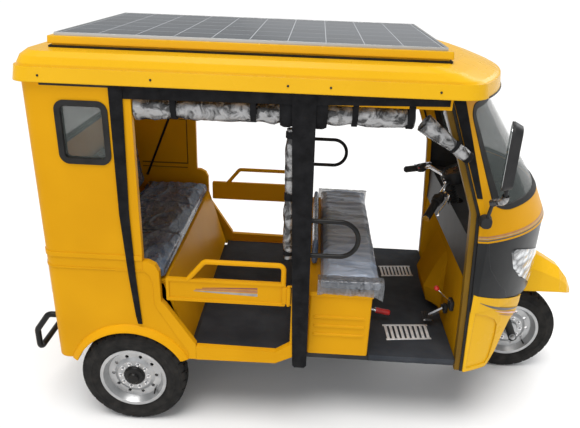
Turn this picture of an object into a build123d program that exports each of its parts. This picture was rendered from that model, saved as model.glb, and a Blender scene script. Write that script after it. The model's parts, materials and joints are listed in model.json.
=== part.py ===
from build123d import *
import os
from math import cos, radians, sin, tan

os.makedirs("parts", exist_ok=True)

# Electric passenger tricycle with a solar roof, in millimetres.
# X runs forwards, Y to the left and Z up. The origin is on the ground under the middle of the vehicle.

# Running gear
WHEELBASE = 2054
REAR_OVERHANG = 515
FRONT_OVERHANG = 301
WHEEL_INSET = 42
TYRE_R = 265
TYRE_WIDTH = 112
RIM_FLANGE_R = 168
RIM_WIDTH = 104
RIM_WALL = 4
TYRE_SEAT_GAP = 0.3
HUB_R = 42
DISH = 10
DISC_R = 102
VENT_R = 9
VENT_COUNT = 10
BOLT_R = 70
BOLT_COUNT = 10
REAR_STUB_R = 15
FRONT_SPINDLE_R = 10
RUNNING_CLEARANCE = 0.05
STEER_RAKE = 25
FORK_OFFSET = 53

# Body shell
BODY_HALF = 660
BODY_REAR = 378
BODY_CORNER_R = 60
WALL = 28
QUARTER_BOTTOM = 370
ROOF_EDGE_Z = 1735
ROOF_RISE = 118
ROOF_SKIN = 16
TRAY_RISE = 35
SEAM = 0.3
FLOOR_TOP = 430
FLOOR_T = 25
FLOOR_INSET = 60
FRAME_RAIL_H = 60
FRAME_RAIL_W = 50
FRAME_RAIL_Y = 280
MAT_T = 6

# Stations measured from an axle
DOOR_REAR = 90
B_POST = 800
FLANGE = 454
COWL_INSET = 50
COWL_WALL = 14
BULKHEAD_T = 18

# Fittings
PANEL_LENGTH = 1650
PANEL_WIDTH = 992
PANEL_FRAME_H = 25
PANEL_CENTRE = 557
POST_SIZE = 40
TUBE_R = 11
BENCH_TOP = 795
BENCH_INSET = 62
CUSHION_T = 75
DRIVER_BASE_DEPTH = 300
DRIVER_BASE_TOP = 785
BACK_PAD_T = 34
BACK_PAD_TOP = 945
SHEET = 12

LENGTH = WHEELBASE + REAR_OVERHANG + FRONT_OVERHANG
REAR_X = REAR_OVERHANG - LENGTH / 2
FRONT_X = REAR_X + WHEELBASE
B_POST_X = REAR_X + B_POST
DOOR_REAR_X = REAR_X + DOOR_REAR
BODY_REAR_X = REAR_X - BODY_REAR
FLANGE_X = FRONT_X - FLANGE
WHEEL_Y = BODY_HALF - WHEEL_INSET
FLOOR_HALF = BODY_HALF - FLOOR_INSET
COWL_HALF = BODY_HALF - COWL_INSET
DRIVER_BASE_X = B_POST_X + 65
FLOOR_BOTTOM = FLOOR_TOP - FLOOR_T
HEADER_Z = ROOF_EDGE_Z - 45
ROOF_TOP_Z = ROOF_EDGE_Z + ROOF_RISE

SIDES = (("right", -1), ("left", 1))

# The steering axis leans back; its foot lies behind the front axle by the fork's offset.
AXIS_UP = Vector(-sin(radians(STEER_RAKE)), 0, cos(radians(STEER_RAKE)))
AXIS_FRONT = Vector(cos(radians(STEER_RAKE)), 0, sin(radians(STEER_RAKE)))
FRONT_AXLE = Vector(FRONT_X, 0, TYRE_R)
STEER_FOOT = FRONT_AXLE - AXIS_FRONT * FORK_OFFSET
STEM_R = 16
HEADSTOCK = (580, 770)
CROWN = (400, 440)
CLAMP = 1000


def save(piece, name):
    """Label one finished piece and write it to its own file."""
    piece.label = name
    export_step(piece, f"parts/{name}.step")


def side_view(y):
    """Plane of a side view at a given y, with X to the right and Z up."""
    return Plane.XZ.offset(-y)


def steer_plane(along):
    """Plane square to the steering axis at a height along it, its x pointing forwards."""
    return Plane(origin=STEER_FOOT + AXIS_UP * along, x_dir=AXIS_FRONT, z_dir=AXIS_UP)


# Wheels: a tyre and a pressed steel rim each
def tyre_at(x, y):
    """Tyre whose beads sit between the rim flanges, with bulging walls and square shoulders."""
    half = TYRE_WIDTH / 2
    bead = RIM_FLANGE_R - 12 + TYRE_SEAT_GAP
    seat = RIM_WIDTH / 2 - RIM_WALL - TYRE_SEAT_GAP
    wall = ((seat, bead), (seat, RIM_FLANGE_R + 2), (half, RIM_FLANGE_R + 46), (half - 9, TYRE_R - 15),
            (half - 23, TYRE_R))
    with BuildPart() as tyre:
        with BuildSketch(Plane(origin=(x, y, TYRE_R), x_dir=(0, 1, 0), z_dir=(1, 0, 0))):
            with BuildLine():
                Polyline(*wall, *((-across, r) for across, r in reversed(wall)), close=True)
            make_face()
        revolve(axis=Axis((x, y, TYRE_R), (0, 1, 0)))
    return tyre.part


def rim_at(x, y, outward, bore_r):
    """Drop-centre steel rim with a dished disc, vent holes, a ring of wheel bolts and a hub."""
    half = RIM_WIDTH / 2
    barrel = RIM_FLANGE_R - 12
    well = barrel - 18
    disc = outward * 14
    hub_face = disc + outward * DISH
    skin = outward * 3
    with BuildPart() as rim:
        with BuildSketch(Plane(origin=(x, y, TYRE_R), x_dir=(0, 1, 0), z_dir=(1, 0, 0))):
            with BuildLine():
                Polyline((-half, RIM_FLANGE_R), (-half + RIM_WALL, RIM_FLANGE_R), (-half + RIM_WALL, barrel),
                         (-16, barrel), (-12, well), (12, well), (16, barrel), (half - RIM_WALL, barrel),
                         (half - RIM_WALL, RIM_FLANGE_R), (half, RIM_FLANGE_R), (half, barrel - RIM_WALL),
                         (18, well - RIM_WALL), (-18, well - RIM_WALL), (-half, barrel - RIM_WALL), close=True)
            make_face()
            with BuildLine():
                Polyline((disc - skin, well), (disc + skin, well), (disc + skin, DISC_R), (hub_face + skin, BOLT_R + 14),
                         (hub_face + skin, bore_r), (-outward * 30, bore_r), (-outward * 30, HUB_R),
                         (hub_face - skin, HUB_R), (hub_face - skin, BOLT_R + 12), (disc - skin, DISC_R - 2),
                         close=True)
            make_face()
        revolve(axis=Axis((x, y, TYRE_R), (0, 1, 0)))
        face = Plane(origin=(x, y + hub_face + skin, TYRE_R), x_dir=(1, 0, 0), z_dir=(0, outward, 0))
        with BuildSketch(face.offset(-40)):
            with PolarLocations(DISC_R + 8, VENT_COUNT):
                Circle(VENT_R)
        extrude(amount=60, mode=Mode.SUBTRACT)
        with BuildSketch(face):
            with PolarLocations(BOLT_R, BOLT_COUNT):
                RegularPolygon(8, 6)
        extrude(amount=8)
        with BuildSketch(face):
            Circle(HUB_R + 6)
            Circle(bore_r, mode=Mode.SUBTRACT)
        extrude(amount=14, taper=12)
    return rim.part


for side, sign in SIDES:
    wheel_y = sign * WHEEL_Y
    save(tyre_at(REAR_X, wheel_y), f"rear_tyre_{side}")
    save(rim_at(REAR_X, wheel_y, sign, REAR_STUB_R + RUNNING_CLEARANCE), f"rear_rim_{side}")

save(tyre_at(FRONT_X, 0), "front_tyre")
save(rim_at(FRONT_X, 0, -1, FRONT_SPINDLE_R + RUNNING_CLEARANCE), "front_rim")

# Rear axle: a tube, a final drive housing, brake backing plates and stub shafts
AXLE_TUBE_R = 32
BACKPLATE_Y = WHEEL_Y - 48
with BuildPart() as rear_axle:
    with BuildSketch(side_view(BACKPLATE_Y)):
        with Locations((REAR_X, TYRE_R)):
            Circle(AXLE_TUBE_R)
    extrude(amount=2 * BACKPLATE_Y)
    with BuildSketch(Plane(origin=(REAR_X, 0, TYRE_R), x_dir=(0, 1, 0), z_dir=(1, 0, 0))):
        with BuildLine():
            Line((-90, 0), (-90, 40))
            ThreePointArc((-90, 40), (0, 95), (90, 40))
            Line((90, 40), (90, 0))
            Line((90, 0), (-90, 0))
        make_face()
    revolve(axis=Axis((REAR_X, 0, TYRE_R), (0, 1, 0)))
    for side, sign in SIDES:
        with BuildSketch(side_view(sign * BACKPLATE_Y)):
            with Locations((REAR_X, TYRE_R)):
                Circle(100)
        extrude(amount=-sign * 10)
        with BuildSketch(side_view(sign * (BACKPLATE_Y - 1))):
            with Locations((REAR_X, TYRE_R)):
                Circle(REAR_STUB_R)
        extrude(amount=-sign * (WHEEL_Y + 40 - BACKPLATE_Y))
save(rear_axle.part, "rear_axle")

# Traction motor, in front of the final drive on the same line
MOTOR_R = 82
with BuildPart() as drive_motor:
    with BuildSketch(side_view(-40)):
        with Locations((REAR_X + 95 + MOTOR_R + SEAM, TYRE_R)):
            Circle(MOTOR_R)
    extrude(amount=-190)
save(drive_motor.part, "drive_motor")

# Leaf springs, clamped on the axle tube under the frame rails
SPRING_HALF = 305
SPRING_W = 36
LEAF_T = 7
RAIL_BOTTOM = FLOOR_BOTTOM - FRAME_RAIL_H
LEAVES = ((SPRING_HALF, 0), (240, 1), (170, 2), (100, 3))
SPRING_BASE = TYRE_R + AXLE_TUBE_R + SEAM
with BuildPart() as leaf_springs:
    for side, sign in SIDES:
        with BuildSketch(side_view(sign * FRAME_RAIL_Y)):
            for half_length, rank in LEAVES:
                low = SPRING_BASE + (len(LEAVES) - 1 - rank) * LEAF_T
                with BuildLine():
                    Polyline((REAR_X - half_length, low + LEAF_T), (REAR_X - half_length, low),
                             (REAR_X + half_length, low), (REAR_X + half_length, low + LEAF_T), close=True)
                make_face()
        extrude(amount=SPRING_W / 2, both=True)
        with BuildSketch(side_view(sign * FRAME_RAIL_Y)):
            with Locations((REAR_X - SPRING_HALF, SPRING_BASE + 3.5 * LEAF_T),
                           (REAR_X + SPRING_HALF, SPRING_BASE + 3.5 * LEAF_T)):
                Circle(LEAF_T * 2)
        extrude(amount=SPRING_W / 2, both=True)
save(leaf_springs.part, "leaf_springs")

# Ladder frame: two rails, cross members, spring hangers, spine and headstock
RAIL_REAR_X = BODY_REAR_X + WALL + 10
RAIL_FRONT_X = FLANGE_X + 70
HANGER_GAP = SPRING_W / 2 + SEAM
CROSS_STATIONS = (RAIL_REAR_X + 25, REAR_X + 420, B_POST_X, B_POST_X + 420, RAIL_FRONT_X - 30)
EYE_Z = SPRING_BASE + 3.5 * LEAF_T
HITCH_X = 26
HITCH_Y = 120
HITCH_HOLE_R = 5.25
with BuildPart() as ladder_frame:
    for side, sign in SIDES:
        with BuildSketch(Plane.XY.offset(RAIL_BOTTOM)):
            with Locations(((RAIL_REAR_X + RAIL_FRONT_X) / 2, sign * FRAME_RAIL_Y)):
                Rectangle(RAIL_FRONT_X - RAIL_REAR_X, FRAME_RAIL_W)
        extrude(amount=FRAME_RAIL_H)
        for end in (-1, 1):
            for ear in (-1, 1):
                with BuildSketch(side_view(sign * FRAME_RAIL_Y + ear * (HANGER_GAP + 3))):
                    with Locations((REAR_X + end * SPRING_HALF, (EYE_Z + RAIL_BOTTOM) / 2 - 8)):
                        Rectangle(40, RAIL_BOTTOM - EYE_Z + 22)
                extrude(amount=3, both=True)
    for station in CROSS_STATIONS:
        with BuildSketch(Plane.XY.offset(RAIL_BOTTOM + 10)):
            with Locations((station, 0)):
                Rectangle(50, 2 * FRAME_RAIL_Y)
        extrude(amount=FRAME_RAIL_H - 10)
    with BuildSketch(Plane.XY.offset(RAIL_BOTTOM)):
        with Locations((CROSS_STATIONS[0], 0)):
            with GridLocations(HITCH_X, HITCH_Y, 2, 2):
                Circle(HITCH_HOLE_R)
    extrude(amount=FRAME_RAIL_H, mode=Mode.SUBTRACT)
    head_low = STEER_FOOT + AXIS_UP * HEADSTOCK[0]
    head_high = STEER_FOOT + AXIS_UP * HEADSTOCK[1]
    with BuildSketch(side_view(0)):
        with BuildLine():
            Polyline((RAIL_FRONT_X - 45, RAIL_BOTTOM + 10), (RAIL_FRONT_X, RAIL_BOTTOM + 10),
                     (RAIL_FRONT_X + 20, head_low.Z - 30), (head_low.X, head_low.Z + 10),
                     (head_high.X, head_high.Z - 10), (RAIL_FRONT_X - 45, head_high.Z - 30), close=True)
        make_face()
    extrude(amount=26, both=True)
    with BuildSketch(steer_plane(HEADSTOCK[0])):
        Circle(STEM_R + 14)
    extrude(amount=HEADSTOCK[1] - HEADSTOCK[0])
    with BuildSketch(steer_plane(HEADSTOCK[0] - 60)):
        Circle(STEM_R + RUNNING_CLEARANCE)
    extrude(amount=HEADSTOCK[1] - HEADSTOCK[0] + 120, mode=Mode.SUBTRACT)
save(ladder_frame.part, "ladder_frame")

# Fork: stem, crown, two telescopic legs and the front spindle
LEG_Y = 96
LEG_R = 17
SLIDER_R = 23
with BuildPart() as fork:
    with BuildSketch(steer_plane(CROWN[0])):
        Circle(STEM_R)
    extrude(amount=CLAMP - CROWN[0])
    with BuildSketch(steer_plane(CROWN[0])):
        with Locations((FORK_OFFSET / 2, 0)):
            RectangleRounded(FORK_OFFSET + 2 * SLIDER_R, 2 * LEG_Y + 2 * SLIDER_R, 20)
    extrude(amount=CROWN[1] - CROWN[0])
    for sign in (-1, 1):
        with BuildSketch(steer_plane(0)):
            with Locations((FORK_OFFSET, sign * LEG_Y)):
                Circle(LEG_R)
        extrude(amount=CROWN[1] + 20)
        with BuildSketch(steer_plane(-30)):
            with Locations((FORK_OFFSET, sign * LEG_Y)):
                Circle(SLIDER_R)
        extrude(amount=240)
    with BuildSketch(side_view(LEG_Y)):
        with Locations((FRONT_X, TYRE_R)):
            Circle(FRONT_SPINDLE_R)
    extrude(amount=2 * LEG_Y)
save(fork.part, "fork")

# Handlebar: a bent tube with grips, clamped on top of the stem
clamp_centre = STEER_FOOT + AXIS_UP * (CLAMP + 14)
GRIP_Y = 360
GRIP_SWEEP = 160
GRIP_DROP = 70
with BuildPart() as handlebar:
    with BuildSketch(steer_plane(CLAMP)):
        RectangleRounded(44, 70, 8)
    extrude(amount=28)
    for sign in (-1, 1):
        with BuildLine() as bar_path:
            FilletPolyline((clamp_centre.X, 0, clamp_centre.Z),
                           (clamp_centre.X - 10, sign * 70, clamp_centre.Z + 10),
                           (clamp_centre.X - 60, sign * 190, clamp_centre.Z + 10),
                           (clamp_centre.X - GRIP_SWEEP, sign * GRIP_Y, clamp_centre.Z - GRIP_DROP), radius=30)
        with BuildSketch(Plane(origin=bar_path.line @ 0, z_dir=bar_path.line % 0)):
            Circle(TUBE_R)
        sweep()
        end = bar_path.line @ 1
        back = bar_path.line % 1
        with BuildSketch(Plane(origin=end - back * 125, z_dir=back)):
            Circle(17)
        extrude(amount=135)
save(handlebar.part, "handlebar")

# Floor pan, cut away round the rear wheels
WELL_R = TYRE_R + 36
WELL_INNER_Y = WHEEL_Y - TYRE_WIDTH / 2 - 18
STEP_BACK = 4
JAMB_DEPTH = 36
JAMB_OUTER = COWL_HALF - COWL_WALL - SEAM
JAMB_INNER = JAMB_OUTER - JAMB_DEPTH - SEAM
with BuildPart() as floor_pan:
    with BuildSketch(Plane.XY.offset(FLOOR_BOTTOM)):
        with Locations(((BODY_REAR_X + WALL + SEAM + FLANGE_X - STEP_BACK) / 2, 0)):
            Rectangle(FLANGE_X - STEP_BACK - BODY_REAR_X - WALL - SEAM, 2 * FLOOR_HALF)
        with Locations((FLANGE_X + (BULKHEAD_T - STEP_BACK) / 2, 0)):
            Rectangle(BULKHEAD_T + STEP_BACK, 2 * JAMB_INNER)
        for sign in (-1, 1):
            with Locations((REAR_X, sign * (WELL_INNER_Y + 100))):
                Rectangle(2 * WELL_R + 4, 200, mode=Mode.SUBTRACT)
    extrude(amount=FLOOR_T)
save(floor_pan.part, "floor_pan")

# Rubber mats, turned down over the floor's edges
DRIVER_BASE_FRONT = DRIVER_BASE_X + DRIVER_BASE_DEPTH
REAR_MAT_X = REAR_X + 300
with BuildPart() as floor_mats:
    for start, end in ((REAR_MAT_X, DRIVER_BASE_X - 5), (DRIVER_BASE_FRONT + 5, FLANGE_X - 2)):
        with BuildSketch(Plane.XY.offset(FLOOR_TOP)):
            with Locations(((start + end) / 2, 0)):
                Rectangle(end - start, 2 * FLOOR_HALF)
        extrude(amount=MAT_T)
save(floor_mats.part, "floor_mats")

# Rear quarter panels: side wall with rounded rear corner, belt ribs, flared wheel arch and window
ARCH_R = TYRE_R + 18
FLARE_OUT = 28
FLARE_W = 34
QUARTER_TOP = ROOF_EDGE_Z
SILL_TOP = 469
SILL_BOTTOM = 401
SILL_POST_Z = 515
WINDOW = (-122, 1528, 205, 256, 34)
REAR_WALL_HALF = BODY_HALF - BODY_CORNER_R - 40
SILL_REAR = 323
RIM_RAISE = 4
# Belt ribs round the body: low z, high z, how far they stand out
BELTS = ((876, 884, 3), (934, 958, 4))
# Door edge and the inner line of the raised rim that follows it, from the rear axle and the ground
DOOR_EDGE = ((DOOR_REAR, 932), (115, 931), (147, 914), (163, 880), (165, 724), (187, 698), (SILL_REAR, 486))
RIM_LINE = ((287, SILL_BOTTOM), (287, 434), (141, 684), (134, 700), (131, 819), (118, 856), (100, 876), (DOOR_REAR, 884))


def side_band(sign, grow, wall):
    """Plan of one quarter panel: a side with a rounded rear corner, pushed out by grow, of the given wall."""
    out = BODY_HALF + grow
    rear = BODY_REAR_X - grow
    with BuildSketch() as band:
        with BuildLine():
            outer = FilletPolyline((REAR_X + 400, sign * out), (rear, sign * out), (rear, sign * REAR_WALL_HALF),
                                   radius=BODY_CORNER_R + grow)
            inner = FilletPolyline((REAR_X + 400, sign * (out - wall)), (rear + wall, sign * (out - wall)),
                                   (rear + wall, sign * REAR_WALL_HALF), radius=BODY_CORNER_R + grow - wall)
            Line(outer @ 0, inner @ 0)
            Line(outer @ 1, inner @ 1)
        make_face()
    return band.sketch


with BuildPart() as quarter_panels:
    for side, sign in SIDES:
        with BuildSketch(Plane.XY.offset(QUARTER_BOTTOM)):
            add(side_band(sign, 0, WALL))
        extrude(amount=QUARTER_TOP - QUARTER_BOTTOM)
        for low, high, raise_by in BELTS:
            with BuildSketch(Plane.XY.offset(low)):
                add(side_band(sign, raise_by, raise_by + 2))
            extrude(amount=high - low)
        with BuildSketch(side_view(sign * (BODY_HALF - 2))):
            with BuildLine():
                Polyline(*((REAR_X + x, z) for x, z in DOOR_EDGE + ((SILL_REAR, SILL_BOTTOM),) + RIM_LINE), close=True)
            make_face()
        extrude(amount=-sign * (RIM_RAISE + 2))
        with BuildSketch(Plane(origin=(REAR_X, 0, TYRE_R), x_dir=(0, sign, 0), z_dir=(1, 0, 0))):
            with BuildLine():
                Polyline((BODY_HALF - 10, ARCH_R - 5), (BODY_HALF + FLARE_OUT - 6, ARCH_R - 5),
                         (BODY_HALF + FLARE_OUT, ARCH_R), (BODY_HALF + FLARE_OUT - 3, ARCH_R + 9),
                         (BODY_HALF + 8, ARCH_R + FLARE_W - 4), (BODY_HALF - 10, ARCH_R + FLARE_W + 4), close=True)
            make_face()
        revolve(axis=Axis((REAR_X, 0, TYRE_R), (0, 1, 0)))
        door = ((DOOR_REAR, QUARTER_TOP + 5),) + DOOR_EDGE
        door += ((SILL_REAR, QUARTER_BOTTOM - 5), (600, QUARTER_BOTTOM - 5), (600, QUARTER_TOP + 5))
        with BuildSketch(side_view(sign * BODY_HALF)):
            with BuildLine():
                Polyline(*((REAR_X + x, z) for x, z in door), close=True)
            make_face()
            with Locations((REAR_X + SILL_REAR - 200, QUARTER_BOTTOM - 250)):
                Rectangle(900, 500)
            with Locations((REAR_X + SILL_REAR, SILL_BOTTOM - 102)):
                Rectangle(200, 200)
            with Locations((REAR_X, TYRE_R)):
                Circle(ARCH_R)
            with Locations((REAR_X + WINDOW[0], WINDOW[1])):
                RectangleRounded(WINDOW[2], WINDOW[3], WINDOW[4])
        extrude(amount=2 * WALL, both=True, mode=Mode.SUBTRACT)
save(quarter_panels.part, "quarter_panels")

# Sills between the rear quarters and the front edge of the rear doorway
SILL_REAR_X = REAR_X + SILL_REAR + SEAM
SILL_FRONT_X = B_POST_X + POST_SIZE / 2
with BuildPart() as sills:
    for side, sign in SIDES:
        with BuildSketch(side_view(sign * (BODY_HALF + RIM_RAISE))):
            with BuildLine():
                Polyline((SILL_REAR_X, SILL_BOTTOM - 2), (B_POST_X - 88, SILL_BOTTOM + 2), (SILL_FRONT_X, 458),
                         (SILL_FRONT_X, SILL_POST_Z), (B_POST_X - POST_SIZE / 2, SILL_POST_Z), (B_POST_X - 88, SILL_TOP),
                         (SILL_REAR_X, SILL_TOP + 6), close=True)
            make_face()
        extrude(amount=sign * (WALL + RIM_RAISE))
        with BuildSketch(Plane.XY.offset(SILL_BOTTOM + 8)):
            with Locations(((SILL_REAR_X + B_POST_X - 90) / 2, sign * (FLOOR_HALF + BODY_HALF - WALL) / 2)):
                Rectangle(B_POST_X - 90 - SILL_REAR_X, BODY_HALF - WALL - FLOOR_HALF)
        extrude(amount=FLOOR_TOP - SILL_BOTTOM - 8)
save(sills.part, "sills")

# Wheel housings: an arched sheet and an inner wall over each rear wheel
with BuildPart() as wheel_housings:
    for side, sign in SIDES:
        with BuildSketch(side_view(sign * WELL_INNER_Y)):
            with Locations((REAR_X, TYRE_R)):
                Circle(WELL_R)
                Circle(WELL_R - 6, mode=Mode.SUBTRACT)
            with Locations((REAR_X, FLOOR_BOTTOM - 500)):
                Rectangle(4 * WELL_R, 1000, mode=Mode.SUBTRACT)
        extrude(amount=-sign * (BODY_HALF - WALL - SEAM - WELL_INNER_Y))
        with BuildSketch(side_view(sign * WELL_INNER_Y)):
            with Locations((REAR_X, TYRE_R)):
                Circle(WELL_R)
            with Locations((REAR_X, FLOOR_BOTTOM - 500)):
                Rectangle(4 * WELL_R, 1000, mode=Mode.SUBTRACT)
        extrude(amount=-sign * 6)
save(wheel_housings.part, "wheel_housings")

# Rear wall with its window and the locker opening below the bench
REAR_WINDOW = (1500, 820, 250, 40)
LID_Z = (470, 780)
LID_HALF = 380
LID_GAP = 5
LID_AXIS_X = BODY_REAR_X - 9
LID_AXIS_Z = LID_Z[1]
LID_HINGE_Y = (-250, 250)
LID_PIN_R = 4
LID_SLEEVE_R = 8
LID_SLEEVE_HALF = 40
with BuildPart() as rear_panel:
    with BuildSketch(Plane(origin=(BODY_REAR_X, 0, 0), x_dir=(0, -1, 0), z_dir=(-1, 0, 0))):
        with Locations((0, (QUARTER_BOTTOM + QUARTER_TOP) / 2)):
            Rectangle(2 * REAR_WALL_HALF - 2 * SEAM, QUARTER_TOP - QUARTER_BOTTOM)
        with Locations((0, REAR_WINDOW[0])):
            RectangleRounded(REAR_WINDOW[1], REAR_WINDOW[2], REAR_WINDOW[3], mode=Mode.SUBTRACT)
        with Locations((0, (LID_Z[0] + LID_Z[1]) / 2)):
            RectangleRounded(2 * LID_HALF, LID_Z[1] - LID_Z[0], 20, mode=Mode.SUBTRACT)
    extrude(amount=-WALL)
    for station in LID_HINGE_Y:
        for ear in (-1, 1):
            with BuildSketch(side_view(station + ear * (LID_SLEEVE_HALF + SEAM + 4))):
                with Locations((LID_AXIS_X, LID_AXIS_Z)):
                    Circle(LID_SLEEVE_R)
                with Locations(((LID_AXIS_X + BODY_REAR_X) / 2, LID_AXIS_Z + LID_SLEEVE_R)):
                    Rectangle(BODY_REAR_X - LID_AXIS_X, 2 * LID_SLEEVE_R)
            extrude(amount=4, both=True)
        with BuildSketch(side_view(station)):
            with Locations((LID_AXIS_X, LID_AXIS_Z)):
                Circle(LID_PIN_R)
        extrude(amount=LID_SLEEVE_HALF + 4, both=True)
save(rear_panel.part, "rear_panel")

# Locker lid, hinged along its top edge
with BuildPart() as locker_lid:
    with BuildSketch(Plane(origin=(BODY_REAR_X, 0, 0), x_dir=(0, -1, 0), z_dir=(-1, 0, 0))):
        with Locations((0, (LID_Z[0] + LID_Z[1]) / 2)):
            RectangleRounded(2 * (LID_HALF - LID_GAP), LID_Z[1] - LID_Z[0] - 2 * LID_GAP, 16)
    extrude(amount=-20)
    for station in LID_HINGE_Y:
        with BuildSketch(side_view(station)):
            with Locations((LID_AXIS_X, LID_AXIS_Z)):
                Circle(LID_SLEEVE_R)
            with Locations((BODY_REAR_X - 3, LID_AXIS_Z - 25)):
                Rectangle(6, 48)
        extrude(amount=LID_SLEEVE_HALF, both=True)
        with BuildSketch(side_view(station)):
            with Locations((LID_AXIS_X, LID_AXIS_Z)):
                Circle(LID_PIN_R + RUNNING_CLEARANCE)
        extrude(amount=LID_SLEEVE_HALF, both=True, mode=Mode.SUBTRACT)
save(locker_lid.part, "locker_lid")

# Tail lamps on the rear corners
TAIL_LAMP_Y = BODY_HALF - 130
with BuildPart() as tail_lamps:
    for side, sign in SIDES:
        with BuildSketch(Plane(origin=(BODY_REAR_X - SEAM, sign * TAIL_LAMP_Y, 772), x_dir=(0, -1, 0), z_dir=(-1, 0, 0))):
            RectangleRounded(75, 190, 12)
        extrude(amount=24, taper=6)
save(tail_lamps.part, "tail_lamps")

# Rear bumper: a bent tube across the back, held by two stays on the frame rails
BUMPER_R = 15
BUMPER_X = REAR_X - REAR_OVERHANG + BUMPER_R
BUMPER_Z = 350
BUMPER_HALF = BODY_HALF - 80
BUMPER_TOP = 560
with BuildPart() as rear_bumper:
    with BuildLine() as hoop:
        FilletPolyline((BODY_REAR_X - SEAM, -BUMPER_HALF, BUMPER_TOP), (BODY_REAR_X - 55, -BUMPER_HALF, BUMPER_TOP),
                       (BUMPER_X, -BUMPER_HALF, BUMPER_TOP - 95), (BUMPER_X, -BUMPER_HALF, BUMPER_Z),
                       (BUMPER_X, BUMPER_HALF, BUMPER_Z), (BUMPER_X, BUMPER_HALF, BUMPER_TOP - 95),
                       (BODY_REAR_X - 55, BUMPER_HALF, BUMPER_TOP), (BODY_REAR_X - SEAM, BUMPER_HALF, BUMPER_TOP),
                       radius=35)
    with BuildSketch(Plane(origin=hoop.line @ 0, z_dir=hoop.line % 0)):
        Circle(BUMPER_R)
    sweep()
    for sign in (-1, 1):
        with BuildSketch(Plane(origin=(RAIL_REAR_X - SEAM, sign * FRAME_RAIL_Y, QUARTER_BOTTOM - 14), x_dir=(0, 1, 0),
                               z_dir=(-1, 0, 0))):
            Rectangle(34, 20)
        extrude(amount=RAIL_REAR_X - BUMPER_X)
save(rear_bumper.part, "rear_bumper")

# Rear bench: a folded sheet base with a slanted riser, a cushion and a backrest
RISER_TOP = 175
RISER_FOOT = 282
BACKREST_TOP = 1240
CUSHION_HALF = BODY_HALF - BENCH_INSET
with BuildPart() as bench_base:
    with BuildSketch(side_view(0)):
        with BuildLine():
            Polyline((REAR_X + RISER_FOOT, FLOOR_TOP), (REAR_X + RISER_TOP, BENCH_TOP),
                     (BODY_REAR_X + WALL + 2, BENCH_TOP), (BODY_REAR_X + WALL + 2, BENCH_TOP - SHEET),
                     (REAR_X + RISER_TOP - SHEET, BENCH_TOP - SHEET), (REAR_X + RISER_FOOT - SHEET, FLOOR_TOP),
                     close=True)
        make_face()
    extrude(amount=CUSHION_HALF, both=True)
save(bench_base.part, "bench_base")

with BuildPart() as bench_cushion:
    with BuildSketch(Plane.XY.offset(BENCH_TOP + SEAM)):
        with Locations((REAR_X - 35, 0)):
            RectangleRounded(420, 2 * CUSHION_HALF, 30)
    extrude(amount=CUSHION_T)
    fillet(bench_cushion.edges().group_by(Axis.Z)[-1], radius=22)
save(bench_cushion.part, "bench_cushion")

with BuildPart() as bench_back:
    with BuildSketch(side_view(0)):
        with BuildLine():
            Polyline((REAR_X - 246, BENCH_TOP + 45), (REAR_X - 310, BACKREST_TOP), (BODY_REAR_X + WALL, BACKREST_TOP),
                     (BODY_REAR_X + WALL, BENCH_TOP + 45), close=True)
        make_face()
    extrude(amount=CUSHION_HALF, both=True)
save(bench_back.part, "bench_back")

# Driver's seat: a ribbed sheet box with a turned-out top edge, holding the batteries, and a cushion
BASE_LIP = 6
RIB_H = 16
RIB_Z = (545, 595, 645)
with BuildPart() as driver_base:
    with BuildSketch(Plane.XY.offset(FLOOR_TOP)):
        with Locations((DRIVER_BASE_X + DRIVER_BASE_DEPTH / 2, 0)):
            RectangleRounded(DRIVER_BASE_DEPTH, 2 * FLOOR_HALF, 12)
    extrude(amount=DRIVER_BASE_TOP - FLOOR_TOP)
    with BuildSketch(Plane.XY.offset(DRIVER_BASE_TOP - 2 * SHEET)):
        with Locations((DRIVER_BASE_X + DRIVER_BASE_DEPTH / 2, 0)):
            RectangleRounded(DRIVER_BASE_DEPTH + 2 * BASE_LIP, 2 * (FLOOR_HALF + BASE_LIP), 14)
    extrude(amount=2 * SHEET)
    for sign in (-1, 1):
        with BuildSketch(side_view(sign * FLOOR_HALF)):
            with Locations(*((DRIVER_BASE_X + DRIVER_BASE_DEPTH / 2, z) for z in RIB_Z)):
                RectangleRounded(DRIVER_BASE_DEPTH - 50, RIB_H, RIB_H / 2 - 1)
        extrude(amount=-sign * BASE_LIP, taper=30)
    with BuildSketch(Plane.XY.offset(FLOOR_TOP)):
        with Locations((DRIVER_BASE_X + DRIVER_BASE_DEPTH / 2, 0)):
            Rectangle(DRIVER_BASE_DEPTH - 2 * SHEET, 2 * FLOOR_HALF - 2 * SHEET)
    extrude(amount=DRIVER_BASE_TOP - FLOOR_TOP - SHEET, mode=Mode.SUBTRACT)
save(driver_base.part, "driver_base")

with BuildPart() as battery_pack:
    with BuildSketch(Plane.XY.offset(FLOOR_TOP)):
        with Locations((DRIVER_BASE_X + DRIVER_BASE_DEPTH / 2, 0)):
            Rectangle(DRIVER_BASE_DEPTH - 2 * SHEET - 20, 900)
    extrude(amount=230)
save(battery_pack.part, "battery_pack")

with BuildPart() as driver_cushion:
    with BuildSketch(Plane.XY.offset(DRIVER_BASE_TOP + SEAM)):
        with Locations((DRIVER_BASE_X + BACK_PAD_T + 5 + 155, 0)):
            RectangleRounded(310, 2 * FLOOR_HALF, 30)
    extrude(amount=CUSHION_T)
    fillet(driver_cushion.edges().group_by(Axis.Z)[-1], radius=22)
save(driver_cushion.part, "driver_cushion")

# Front shell: plan sections of a flat side and a bowed nose. Columns: z, flange x, side x, tip x from the axle
SECTION_FOOT = (374, -412, -404, 17)
SECTION_LOW = (720, -426, -404, 17)
SECTION_NOSE = (1085, -448, -404, 17)
SECTION_BAND = (1220, -458, -434, -49)
SECTION_TOP = (1775, -668, -614, -441)
SHELL_EDGE = tuple(row[:2] for row in (SECTION_FOOT, SECTION_LOW, SECTION_NOSE, SECTION_BAND, SECTION_TOP))


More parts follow.
